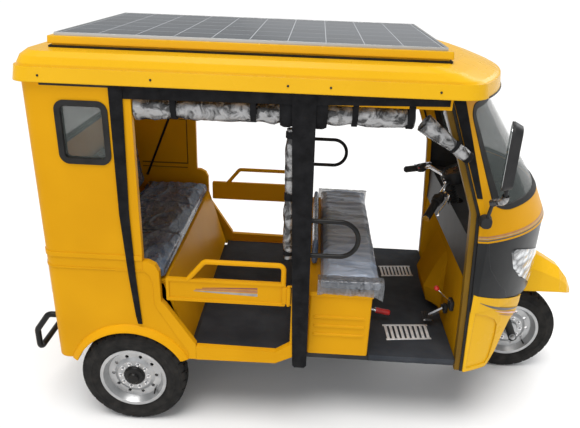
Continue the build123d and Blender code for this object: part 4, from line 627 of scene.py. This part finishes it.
def pad(name, low, high, edge, body, node_name, material, voxel=0.011, cap=0.012, lean=0.0, channels=(),
        wrinkle=None):
    """Padded block between two corners: inflated by cloth simulation, its base held flat."""
    low, high = Vector(low), Vector(high)
    size, mid = high - low, (low + high) / 2
    shrink = 0.007
    bm = bmesh.new()
    bmesh.ops.create_cube(bm, size=1)
    for v in bm.verts:
        v.co = Vector([c * (s - 2 * shrink) for c, s in zip(v.co, size)])
    bmesh.ops.bevel(bm, geom=bm.edges[:], offset=edge, segments=3, profile=0.6, affect="EDGES")
    mesh = bpy.data.meshes.new(name + "_core")
    bm.to_mesh(mesh)
    bm.free()
    o = linked(name, mesh)
    remesh = o.modifiers.new("remesh", "REMESH")
    remesh.mode = "VOXEL"
    remesh.voxel_size = voxel
    o.data = baked(o)
    o.modifiers.clear()
    rest = [v.co.copy() for v in o.data.vertices]
    floor_z = -size.z / 2 + shrink + 0.010
    held = o.vertex_groups.new(name="held")
    held.add([v.index for v in o.data.vertices if v.co.z < floor_z], 1.0, "REPLACE")
    cloth = o.modifiers.new("cloth", "CLOTH")
    for key, value in CLOTH.items():
        setattr(cloth.settings, key, value)
    cloth.settings.effector_weights.gravity = 0
    scene = bpy.context.scene
    for f in range(1, CLOTH_FRAMES + 1):
        scene.frame_set(f)
    o.data = baked(o)
    o.modifiers.clear()
    scene.frame_set(1)
    for v, r in zip(o.data.vertices, rest):
        step = v.co - r
        if step.length > cap:
            v.co = r + step * (cap / step.length)
    o.vertex_groups.clear()
    sub = o.modifiers.new("sub", "SUBSURF")
    sub.levels = sub.render_levels = 1
    o.data = baked(o)
    o.modifiers.clear()
    for v in o.data.vertices:
        up = max(0.0, min(1.0, (v.co.z + size.z * 0.30) / (size.z * 0.45)))
        for axis, at, width, depth in channels:
            d = abs((v.co.x, v.co.y)[axis] - at)
            if d < width:
                v.co.z -= up * depth * (1 - d / width) ** 2
        if wrinkle:
            v.co += wrinkle(v.co, size)
        # Only the front leans: the back stays upright against the wall behind it
        v.co.x += lean * (v.co.z + size.z / 2) * max(0.0, min(1.0, v.co.x / size.x + 0.5))
        v.co += mid
    o.data.update()
    o.data.materials.clear()
    o.data.materials.append(material)
    o.data.polygons.foreach_set("use_smooth", [True] * len(o.data.polygons))
    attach(o, body)
    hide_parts(node_name)
    return o


def ridge(p, scale, seed):
    """0 to 1, with sharp crests, as a crease has."""
    spot = Vector((p[0] * scale[0], p[1] * scale[1], p[2] * scale[2])) + Vector((seed, 0, 0))
    return 1 - abs(noise.noise(spot)) * 2.4


def cover_wrinkle(p, size):
    """Loose cover: creases running front to rear, drawn down at the ends."""
    top = max(0.0, min(1.0, (p.z + size.z * 0.2) / (size.z * 0.5)))
    crest = (max(0.0, ridge(p, (2.6, 15.0, 6.0), 3.1)) ** 2 * 0.012
             + max(0.0, ridge(p, (6.0, 31.0, 9.0), 8.7)) ** 3 * 0.006)
    sideways = noise.noise(Vector((p.x * 6, p.y * 9, 4.2))) * 0.003
    return Vector((sideways * 0.6, sideways, (crest - 0.008) * top))


def film_wrinkle(p, size):
    top = max(0.0, min(1.0, (p.z + size.z * 0.2) / (size.z * 0.5)))
    return Vector((0, 0, (max(0.0, ridge(p, (13.0, 6.0, 6.0), 5.5)) ** 2 * 0.008 - 0.004) * top))


pad("driver_seat_pad", (-0.016, -0.598, 0.7853), (0.292, 0.598, 0.858), 0.022, "chassis", "driver_cushion", cover_film,
    wrinkle=cover_wrinkle)
pad("driver_back_pad", (-0.055, -0.358, 0.7853), (-0.019, 0.358, 0.943), 0.012, "chassis", "driver_back", seat_film,
    voxel=0.008, cap=0.005)
pad("bench_seat_pad", (-1.163, -0.594, 0.7953), (-0.742, 0.594, 0.868), 0.022, "chassis", "bench_cushion", seat_film,
    wrinkle=film_wrinkle, channels=((1, -0.2, 0.012, 0.012), (1, 0.2, 0.012, 0.012)))
pad("bench_back_pad", (-1.262, -0.594, 0.842), (-1.158, 0.594, 1.238), 0.024, "chassis", "bench_back", seat_film,
    cap=0.010, lean=-0.15)

# Rolled curtains: each one sheet of clear film, wound up, tied with straps and creased ----


ROLL_HALF = 0.0455


def rolled_sheet(name, start, end, radii, ties, seed, tall=1.0):
    """A wound sheet from start to end, its radius at each, and its ties as (place, half width)."""
    start, end = Vector(start), Vector(end)
    run = end - start
    length = run.length
    t = run / length
    u = Vector((0, 1, 0)) if abs(t.y) < 0.9 else Vector((1, 0, 0))
    u = (u - t * u.dot(t)).normalized()
    v = t.cross(u)
    turns, around = 5.25, 20
    steps = int(turns * around)
    stations = max(10, int(length / 0.016))
    rows = []
    for i in range(stations + 1):
        s = length * i / stations
        r_out = radii[0] + (radii[1] - radii[0]) * i / stations
        inner = 0.22 * r_out
        pinch = 1 - 0.22 * max(math.exp(-((s - tie * length) / 0.045) ** 2) for tie, _ in ties)
        flare = 1 + 0.14 * noise.noise(Vector((s * 7, seed, 1.5)))
        row = []
        for j in range(steps + 1):
            a = math.tau * j / around + seed
            base = inner + (r_out * 0.93 - inner) * j / steps
            ca, sa = math.cos(a), math.sin(a)
            fold = 1 - 2.2 * abs(noise.noise(Vector((ca * 1.3 + seed, sa * 1.3 + s * 5, s * 13))))
            crinkle = (0.12 * noise.noise(Vector((ca * 2.1 + seed, sa * 2.1, s * 17))) + 0.10 * (fold - 0.5)
                       + 0.05 * noise.noise(Vector((ca * 4.6, sa * 4.6 + seed, s * 46))))
            r = base * pinch * flare * (1 + crinkle)
            across = max(-ROLL_HALF, min(ROLL_HALF, ca * r))
            row.append(start + t * s + u * across + v * (sa * r * tall))
        rows.append(row)
    shape = Shape().grid(rows)
    o = piece(shape, name, "chassis", [curtain_film], 70)
    bands = Shape()
    for tie, half in ties:
        s = tie * length
        r_out = radii[0] + (radii[1] - radii[0]) * tie
        fat = 0.006 if half > 0.02 else 0.0
        ring = []
        for d, lift in ((-half, 0.0), (0.001 - half, 0.0022 + fat), (-half * 0.4, 0.0022 + 2 * fat),
                        (half * 0.4, 0.0022 + 2 * fat), (half - 0.001, 0.0022 + fat), (half, 0.0)):
            row = []
            for k in range(28):
                ca, sa = math.cos(math.tau * k / 28), math.sin(math.tau * k / 28)
                swell = 1 + (0.05 + 8 * fat) * noise.noise(Vector((ca * 2, sa * 2, s * 9)))
                row.append(start + t * (s + d) + (u * ca + v * (sa * tall)) * (r_out * 0.93 * 0.82 * swell + lift))
            ring.append(row)
        bands.grid(ring, closed_u=True)
        if tall > 1:
            out = 1 if start.y > 0 else -1
            bands.block(start + t * s + Vector((0, out * 0.0452, 0.026)), (half * 2, 0.0022, 0.070), edge=0.0006)
    tie_piece = piece(bands, name + "_ties", "chassis", [webbing], 50)
    area = area_of(o)
    return o


# Columns: name, start, end, radii, ties, seed, height over width; y is for the left side
HEADER_Y, PILLAR_Y, POST_X, POST_Y = 0.614, 0.6446, -0.164, 0.6135
ROLLS = (("rear", (-0.825, HEADER_Y, 1.640), (-0.160, HEADER_Y, 1.640), (0.050, 0.046),
          ((0.250, 0.012), (0.748, 0.012), (0.955, 0.028)), 1.0, 1.18),
         ("front", (-0.084, HEADER_Y, 1.640), (0.336, HEADER_Y, 1.640), (0.047, 0.047),
          ((0.075, 0.030), (0.415, 0.012), (0.955, 0.014)), 3.0, 1.18),
         ("pillar", (0.372, PILLAR_Y, 1.634), (0.580, PILLAR_Y, 1.488), (0.041, 0.031),
          ((0.66, 0.008), (0.955, 0.010)), 5.0, 1.0),
         ("post", (POST_X, POST_Y, 1.574), (POST_X, POST_Y, 0.965), (0.034, 0.030),
          ((0.04, 0.014), (0.50, 0.016), (0.955, 0.010)), 7.0, 1.0))
for side, sign in SIDES:
    for place_name, a, b, radii, ties, seed, tall in ROLLS:
        o = rolled_sheet(f"{place_name}_curtain_{side}", (a[0], sign * a[1], a[2]), (b[0], sign * b[1], b[2]), radii,
                         ties, seed + sign, tall)
        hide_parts("rolled_curtains")

# Clear film over the near end of the driver's seat, hanging in folds ----
FILM_TOP = 0.8565


def hanging_film(name, sign):
    rows = []
    width = 0.312
    for j in range(-3, 15):
        drop = 0.062 * max(j, 0) / 14
        inward, up = {-3: (0.050, 0.0), -2: (0.026, -0.001), -1: (0.010, -0.005)}.get(j, (0.0, -0.014))
        row = []
        for i in range(73):
            x = -0.020 + width * i / 72
            down = drop * (1 + 0.45 * max(0.0, (x - 0.20) / 0.092) ** 2)
            shift = 2.4 * noise.noise(Vector((x * 9, sign, 0.4)))
            gather = noise.noise(Vector((x * 38 + shift, down * 5, 2.0 + sign)))
            fold = 0.0085 * max(0.0, gather + 0.25) * min(1, down / 0.030)
            hem = 0.007 * noise.noise(Vector((x * 19, 0.3, 7.0))) * (drop / 0.062)
            lay = 0.0022 * noise.noise(Vector((x * 40, j * 0.9, 4.0))) if j < 0 else 0.0
            out = 0.6105 - inward + fold + 0.0030
            row.append(Vector((x, sign * out, FILM_TOP + up - down - hem + lay)))
        rows.append(row)
    o = piece(Shape().grid(rows), name, "chassis", [loose_film], 80)
    area = area_of(o)


for sign in (-1, 1):
    hanging_film("seat_film_right" if sign < 0 else "seat_film_left", sign)

# Controls on the handlebar ----
CLAMP = STEER_FOOT + AXIS_UP * 1.014
bar = Shape()
for sign in (-1, 1):
    a = CLAMP + Vector((-0.060, sign * 0.190, 0.010))
    b = CLAMP + Vector((-0.160, sign * 0.360, -0.070))
    t = (b - a).normalized()
    tip = b + t * 0.008
    ribs = [(0.0, 0.0), (0.0, 0.0165), (0.004, 0.0195), (0.010, 0.0195), (0.013, 0.0178)]
    for k in range(16):
        ribs += [(0.016 + k * 0.0065, 0.0190), (0.0195 + k * 0.0065, 0.0190), (0.0200 + k * 0.0065, 0.0180),
                 (0.0220 + k * 0.0065, 0.0180)]
    ribs += [(0.122, 0.0182), (0.124, 0.0245), (0.130, 0.0245), (0.131, 0.0115)]
    bar.lathe(tip, -t, ribs, 24)
    house = tip - t * 0.155
    up_dir = (AXIS_UP - t * AXIS_UP.dot(t)).normalized()
    front_dir = t.cross(up_dir) * (-sign)
    if front_dir.x < 0:
        front_dir = -front_dir
    frame_of = {"x_dir": t, "z_dir": up_dir}
    bar.block(house, (0.044, 0.052, 0.044), **frame_of, edge=0.010, slot=1)
    bar.block(house - front_dir * 0.020 + up_dir * 0.010, (0.014, 0.016, 0.010), **frame_of, slot=3)
    perch = house - t * 0.034
    bar.block(perch + front_dir * 0.014, (0.022, 0.046, 0.026), **frame_of, edge=0.006, slot=1)
    lever = bend([perch + front_dir * out + t * along for out, along in
                  ((0.030, 0), (0.052, 0.020), (0.058, 0.080), (0.050, 0.145), (0.056, 0.168))])
    bar.tube(lever, [0.0065] * (len(lever) - 6) + [0.006, 0.0058, 0.0055, 0.0055, 0.006, 0.0065], slot=2, squash=0.6)
    bar.lathe(perch + front_dir * 0.030 - up_dir * 0.012, up_dir,
              [(0, 0.0), (0, 0.007), (0.024, 0.007), (0.026, 0.004), (0.026, 0)], 12, slot=2)
# Instrument pod over the clamp
pod = CLAMP + AXIS_UP * 0.030 + AXIS_FRONT * 0.050
bar.lathe(pod, AXIS_UP, [(-0.066, 0.0), (-0.064, 0.034), (-0.052, 0.050), (-0.030, 0.060), (0.0, 0.066),
                         (0.012, 0.0665), (0.017, 0.063), (0.017, 0.058)], 40, slot=1)
bar.lathe(pod, AXIS_UP, [(0.010, 0.0), (0.010, 0.059), (0.014, 0.0595)], 40, slot=4)
bar.lathe(pod, AXIS_UP, [(0.0168, 0.0585), (0.0205, 0.0600), (0.0205, 0.0640), (0.0165, 0.0655)], 40, slot=1)
for k in range(13):
    a = math.radians(-45 + 270 * k / 12)
    spoke = AXIS_FRONT * -math.cos(a) * 0.047 + Vector((0, 1, 0)) * math.sin(a) * 0.047
    bar.block(pod + AXIS_UP * 0.0107 + spoke, (0.008, 0.0016, 0.0008), x_dir=spoke, z_dir=AXIS_UP, edge=0.0003, slot=5)
needle = (AXIS_FRONT * 0.6 + Vector((0, 0.8, 0))).normalized()
bar.block(pod + AXIS_UP * 0.0118 + needle * 0.016, (0.042, 0.0020, 0.0009), x_dir=needle, z_dir=AXIS_UP,
          edge=0.0003, slot=3)
bar.lathe(pod + AXIS_UP * 0.011, AXIS_UP, [(0, 0.006), (0.003, 0.0055), (0.0034, 0)], 14, slot=1)
# Rubber boot and shroud round the stem under the clamp
stem = STEER_FOOT + AXIS_UP * 0.872
folds = []
for k in range(7):
    folds += [(0.006 + k * 0.014, 0.0205 + 0.0006 * k), (0.013 + k * 0.014, 0.0275 + 0.0008 * k)]
bar.lathe(stem, AXIS_UP, [(0.0, 0.0165), (0.001, 0.024), *folds, (0.112, 0.030), (0.122, 0.024), (0.1225, 0.0165)], 28)
bar.block(CLAMP + AXIS_UP * 0.017, (0.050, 0.076, 0.010), x_dir=AXIS_FRONT, z_dir=AXIS_UP, edge=0.003, slot=1)
for sx in (-1, 1):
    for sy in (-1, 1):
        bar.lathe(CLAMP + AXIS_UP * 0.020 + AXIS_FRONT * (0.015 * sx) + Vector((0, 0.026 * sy, 0)), AXIS_UP,
                  [(0, 0.0052), (0.006, 0.0052), (0.0065, 0.004), (0.0065, 0)], 12, slot=2)
piece(bar, "bar_controls", "steering", [rubber, black_plastic, chrome, red_plastic, dial, white_mark], 35)

# Pedal, hand brake grip, gear lever and foot rests in the cab ----
cab = Shape()
grip_a = Vector((0.302, -0.300, 0.5107))
grip_dir = Vector((0.120, 0, -0.020)).normalized()
cab.lathe(grip_a, grip_dir, [(0.0, 0.0082), (0.0, 0.0125), (0.006, 0.0150), (0.022, 0.0155), (0.036, 0.0145),
                             (0.050, 0.0152), (0.066, 0.0158), (0.078, 0.0148), (0.083, 0.0100), (0.084, 0.0)], 22)
lever_foot = Vector((0.6795, -0.405, 0.640))
path = bend([lever_foot, (0.655, -0.408, 0.662), (0.628, -0.410, 0.688), (0.592, -0.412, 0.722)])
cab.tube(path, 0.0050, 10, slot=1)
cab.lathe(path[-1], path[-1] - path[-4], [(-0.004, 0.0055), (0.000, 0.010), (0.010, 0.0135), (0.018, 0.0120),
                                          (0.023, 0.007), (0.024, 0.0)], 18)
cab.block((0.670, -0.405, 0.636), (0.022, 0.060, 0.052), edge=0.006, slot=2)
cab.block((0.585, -0.300, 0.4945), (0.056, 0.076, 0.005), edge=0.002, slot=2)
for k in range(5):
    cab.block((0.565 + k * 0.010, -0.300, 0.4978), (0.004, 0.066, 0.003), edge=0.001, slot=2)
linkage = bend([(0.664, -0.318, 0.556), (0.642, -0.345, 0.590), (0.656, -0.385, 0.612)])
cab.tube(linkage, 0.0062, 10, slot=2)
cab.block((0.668, -0.318, 0.556), (0.020, 0.040, 0.046), edge=0.005, slot=2)
piece(cab, "cab_levers", "chassis", [red_plastic, chrome, black_plastic], 35)

GRATE_BARS = 9
rests = Shape()
for corners in (((0.347, -0.332), (0.590, -0.308), (0.591, -0.429), (0.355, -0.459)),
                ((0.386, 0.333), (0.589, 0.356), (0.592, 0.237), (0.392, 0.213))):
    c = [Vector((x, y, 0.4368)) for x, y in corners]
    along = c[1] - c[0]
    # Two edge bars, then the bars between them: each a start, an end, a width and a height
    bars = [(c[0], c[1], 0.012, 0.004), (c[3], c[2], 0.012, 0.004)]
    for k in range(GRATE_BARS):
        f = (k + 0.5) / GRATE_BARS
        bars.append((c[0] + along * f, c[3] + (c[2] - c[3]) * f, along.length / GRATE_BARS * 0.55, 0.0046))
    for a, b, width, height in bars:
        rests.block((a + b) / 2, ((b - a).length, width, height), x_dir=b - a, edge=0.0012)
piece(rests, "foot_rests", "chassis", [bar_metal], 35)

# Mat turned down over the near and far floor edges
skirt = Shape()
for sign in (-1, 1):
    for start, end in ((-0.618, -0.062), (0.252, 0.674)):
        rows = []
        for z, out in ((0.4362, 0.594), (0.4340, 0.600), (0.4290, 0.6016), (0.4180, 0.6018), (0.4060, 0.6018)):
            row = []
            for i in range(41):
                swell = 0.0012 * noise.noise(Vector((i * 0.35, z * 30, sign)))
                drop = 0.002 * noise.noise(Vector((i * 0.2, 5.0, sign))) if z < 0.41 else 0
                row.append(Vector((start + (end - start) * i / 40, sign * (out + swell), z - drop)))
            rows.append(row)
        skirt.grid(rows)
mat_edge = piece(skirt, "mat_edges", "chassis", [mat_rubber], 60)
thick = mat_edge.modifiers.new("thick", "SOLIDIFY")
thick.thickness = 0.002
thick.offset = 1.0
mat_edge.data = baked(mat_edge)
mat_edge.modifiers.clear()

# Pinstripes round the band, tapered streaks on the shields, and the yellow lap over the nose's foot ----
stripes = Shape()
for z_low, z_high, slot in ((1.0945, 1.1010, 0), (1.1060, 1.1090, 1), (1.1130, 1.1190, 2)):
    stripes.grid([shell_row(z_low, 0.0008), shell_row(z_high, 0.0008)], slot=slot)
# Each streak is a run of (x, z, width)
STREAKS = (((0.747, 0.772, 0.002), (0.807, 0.738, 0.010), (0.884, 0.700, 0.016), (0.950, 0.672, 0.010),
            (1.001, 0.652, 0.002)),
           ((0.840, 0.704, 0.001), (0.900, 0.674, 0.008), (0.950, 0.650, 0.011), (1.000, 0.622, 0.003)),
           ((0.868, 0.676, 0.001), (0.920, 0.650, 0.006), (0.975, 0.618, 0.002)))
for sign in (-1, 1):
    for number, streak in enumerate(STREAKS):
        line = bend([Vector(p) for p in streak], 5)
        rows = [[shell_point(x, z - h / 2, sign, 0.0034) for x, z, h in line],
                [shell_point(x, z + h / 2, sign, 0.0034) for x, z, h in line]]
        stripes.grid(rows, slot=(0, 3, 2)[number])
piece(stripes, "pinstripes", "chassis", [stripe_dark, stripe_grey, stripe_amber, stripe_rose], 60)

lap = Shape()
for sign in (-1, 1):
    xs = [0.7085 + (1.006 - 0.7085) * i / 30 for i in range(31)]
    low = [shell_point(x, 0.7195, sign, 0.0026) for x in xs]
    slants = [max(0.7205, 0.832 - (x - 0.664) * 0.3353) for x in xs]
    high = [shell_point(x, z, sign, 0.0026) for x, z in zip(xs, slants)]
    under = [shell_point(x, z, sign, 0.0002) for x, z in zip(xs, slants)]
    lap.grid([low, [a.lerp(b, 0.5) for a, b in zip(low, high)], high, under])
piece(lap, "shield_laps", "chassis", [moulding], 50)

# Roof: rubber round the visor, screw heads, and dark strips standing for the shadows under the roof's lip and under the
# tray's edge ----
trim = Shape()
front = arc3((0.580, -0.6745), (0.7975, 0), (0.580, 0.6745), 60)[4:-4]
rim = [Vector((x, y, 1.7372)) for x, y in front]
trim.tube([rim[0] + Vector((-0.10, 0.004, 0))] + rim + [rim[-1] + Vector((-0.10, -0.004, 0))], 0.0042, 8)
for sign in (-1, 1):
    for x in (-1.20, -0.74, -0.187, -0.016, 0.42):
        trim.lathe((x, sign * 0.6725, 1.763), (0, sign, 0),
                   [(-0.004, 0.0050), (0.0, 0.0050), (0.0020, 0.0034), (0.0024, 0.0)], 12, slot=1)
# Dark strip under the roof's lip over each rear quarter: painted shadow of the gap under the lip
for sign in (-1, 1):
    trim.block((-1.034, sign * 0.6610, 1.7285), (0.340, 0.0036, 0.011), edge=0.0012)
for y in (-0.42, 0.0, 0.42):
    trim.lathe((-1.3360, y, 1.763), (-1, 0, 0),
               [(-0.004, 0.0050), (0.0, 0.0050), (0.0016, 0.0034), (0.0018, 0.0)], 12, slot=1)
# Dark ring under the tray's edge: painted shadow of the tray's overhang
TRAY_X, TRAY_HALF_X, TRAY_HALF_Y = -0.363, 0.835, 0.506
ring = [[(TRAY_X + a, b, z) for a, b in rounded_rect(2 * (TRAY_HALF_X + grow), 2 * (TRAY_HALF_Y + grow), 0.006)]
        for z, grow in ((1.8532, 0.0004), (1.8532, 0.0125), (1.8615, 0.0125), (1.8615, 0.0004))]
trim.grid(ring, closed_u=True)
piece(trim, "roof_trim", "chassis", [rubber, chassis_paint], 40)

# Inside of the rear quarters: the edges of a pressed field drawn as thin dark strips, painted shade, and a slanting
# strap to each end of the bench
lining = Shape()
for sign in (-1, 1):
    y = sign * 0.6310
    for z0, z1 in ((1.262, 1.268), (0.966, 0.974), (0.938, 0.944)):
        lining.block((-1.040, y, (z0 + z1) / 2), (0.300, 0.004, z1 - z0), edge=0.0018)
    lining.block((-0.889, y, 1.117), (0.007, 0.004, 0.302), edge=0.0018)
    a, b = Vector((-0.985, sign * 0.6290, 1.306)), Vector((-1.160, sign * 0.6290, 0.886))
    lining.block((a + b) / 2, ((b - a).length, 0.0025, 0.014), x_dir=b - a, z_dir=(b - a).cross(Vector((0, 1, 0))),
                 edge=0.0008, slot=1)
    for spot in (a, b):
        lining.lathe(spot + Vector((0, sign * 0.002, 0)), (0, -sign, 0),
                     [(0, 0.0), (0, 0.010), (0.0045, 0.010), (0.006, 0.006), (0.0064, 0)], 14, slot=2)
piece(lining, "quarter_lining", "chassis", [shade_paint, webbing, black_plastic], 35)

# A folded strip down the door edges, between the seal and the opening, in dark yellow-brown: painted shade, as the
# recessed edges lie in shadow
shade_strips = Shape()
EDGE = [(f, z) for z, f, _, _ in SHELL]
for sign in (-1, 1):
    shade_strips.grid([[Vector((f - inset, sign * y, z)) for f, z in EDGE] for inset, y in
                 ((0.0145, 0.5960), (0.0375, 0.5960), (0.0383, 0.5960), (0.0383, 0.5595), (0.0375, 0.5595))])
piece(shade_strips, "door_edge_painted_shade", "chassis", [shade_paint], 40)

# Mirror glasses, and silver film wrapped round the mirror arms ----
glasses = Shape()
for sign in (-1, 1):
    turn = math.radians(15)
    centre = Vector((0.710, sign * 0.700, 1.523))
    x_dir = Vector((-sign * math.sin(turn), math.cos(turn), 0))
    n = Vector((math.cos(turn), sign * math.sin(turn), 0))
    outline = [centre - n * 0.0012 + x_dir * a + UP * b for a, b in rounded_rect(0.116, 0.266, 0.038)]
    glasses.plate(outline, -n, 0.0011)
piece(glasses, "mirror_glasses", "chassis", [mirror_glass], 40)


def arm_wrap(name, sign):
    line = bend([(x, sign * y, z) for x, y, z in ((0.700, 0.640, 1.292), (0.722, 0.658, 1.306), (0.731, 0.674, 1.313),
                                                  (0.736, 0.692, 1.328), (0.736, 0.700, 1.352))], 7)
    shape = Shape()
    rows = []
    side = UP
    for i, p in enumerate(line):
        t = (line[min(i + 1, len(line) - 1)] - line[max(i - 1, 0)]).normalized()
        side = (side - t * side.dot(t)).normalized()
        other = t.cross(side)
        row = []
        for k in range(21):
            ca, sa = math.cos(math.tau * k / 20), math.sin(math.tau * k / 20)
            r = 0.0145 + 0.0042 * noise.noise(Vector((ca * 2.4, sa * 2.4, i * 0.42 + sign)))
            row.append(p + (side * ca + other * sa) * r)
        rows.append(row)
    shape.grid(rows)
    o = piece(shape, name, "chassis", [curtain_film], 70)
    area = area_of(o)


arm_wrap("arm_film_right", -1)
arm_wrap("arm_film_left", 1)

# Tail lamps: bezels and a clear and an amber pane over the red ones ----
TAIL_Z = 0.772
tail = Shape()
for sign in (-1, 1):
    y = sign * 0.530
    ring = rounded_rect(0.083, 0.198, 0.018)
    inner = rounded_rect(0.071, 0.186, 0.014)
    rows = [[(x, y + a * wide, TAIL_Z + b * high) for a, b in outline] for x, outline, wide, high in
            ((-1.2995, ring, 1, 1), (-1.3215, ring, 1, 1), (-1.3240, ring, 0.985, 0.99), (-1.3240, inner, 1, 1))]
    tail.grid(rows, closed_u=True)
    for z, slot in ((0.718, 1), (TAIL_Z, 2)):
        tail.plate([(-1.3236, y + a, z + b) for a, b in rounded_rect(0.064, 0.046, 0.006)], (-1, 0, 0), 0.0012, slot=slot)
piece(tail, "tail_bezels", "chassis", [chrome, lamp_amber, lamp_white], 40)

# Door bar decals: a red, an amber and a grey streak, tapering to the rear
for side, sign in SIDES:
    decal = Shape()
    y = sign * (0.646 + 0.0054)
    for rear_x, top, low, front_top, front_low, slot in ((-0.560, 0.8020, 0.7985, 0.816, 0.8075, 0),
                                                         (-0.592, 0.7945, 0.7900, 0.8045, 0.7880, 2),
                                                         (-0.600, 0.7860, 0.7825, 0.7850, 0.7700, 1)):
        rows = []
        for f in (0.0, 0.25, 0.5, 0.75, 1.0):
            x = rear_x + (-0.300 - rear_x) * f
            w = f ** 0.8
            rows.append([Vector((x, y, top + (front_top - top) * w)), Vector((x, y, low + (front_low - low) * w))])
        decal.grid(rows, slot=slot)
    piece(decal, f"bar_decal_{side}", f"door_bar_{side}_leaf", [stripe_red, stripe_grey, stripe_amber],
          60)

# Floor, light and camera ----
floor_mesh = bpy.data.meshes.new("floor")
floor_mesh.from_pydata([(-90, -90, 0), (90, -90, 0), (90, 90, 0), (-90, 90, 0)], [], [(0, 1, 2, 3)])
floor = linked("floor", floor_mesh)
floor_mat = new_material("floor", (0.86, 0.86, 0.86), 0.9)
vary(floor_mat, (0.85, 0.85, 0.85), (0.88, 0.88, 0.88), 2)
floor_mesh.materials.append(floor_mat)

world = bpy.data.worlds.new("studio")
world.use_nodes = True
world.node_tree.nodes["Background"].inputs["Color"].default_value = (0.95, 0.97, 1.0, 1)
world.node_tree.nodes["Background"].inputs["Strength"].default_value = 0.5
bpy.context.scene.world = world
bpy.context.scene.view_settings.view_transform = "Standard"


def lamp(kind, name, place_at, aim, power, **values):
    data = bpy.data.lights.new(name, kind)
    data.energy = power
    for key, value in values.items():
        setattr(data, key, value)
    o = linked(name, data)
    o.location = place_at
    o.rotation_euler = (Vector(aim) - Vector(place_at)).to_track_quat("-Z", "Y").to_euler()


lamp("SUN", "overhead", (-0.5, -1.3, 5.0), (0, 0, 0), 2.6, angle=math.radians(38), color=(1.0, 0.985, 0.96))
lamp("AREA", "rim", (3.6, 2.4, 3.6), (0.2, 0, 1.0), 70, shape="RECTANGLE", size=3, size_y=3)
lamp("AREA", "face", (-1.2, -5.0, 2.6), (0, 0, 0.9), 30, shape="RECTANGLE", size=4, size_y=2.5)

YAW, PITCH, ROLL = 0.0334, 0.4102, 0.0364
right0 = Vector((math.cos(YAW), math.sin(YAW), 0))
ahead0 = Vector((-math.sin(YAW), math.cos(YAW), 0))
ahead = ahead0 * math.cos(PITCH) - UP * math.sin(PITCH)
up0 = ahead0 * math.sin(PITCH) + UP * math.cos(PITCH)
right = right0 * math.cos(ROLL) + up0 * math.sin(ROLL)
up = up0 * math.cos(ROLL) - right0 * math.sin(ROLL)
camera = linked("camera", bpy.data.cameras.new("camera"))
camera.matrix_world = Matrix(((right.x, up.x, -ahead.x, -0.0823), (right.y, up.y, -ahead.y, -3.010),
                              (right.z, up.z, -ahead.z, 2.227), (0, 0, 0, 1)))
camera.data.sensor_width = 36
camera.data.lens = 36.39
bpy.context.scene.camera = camera
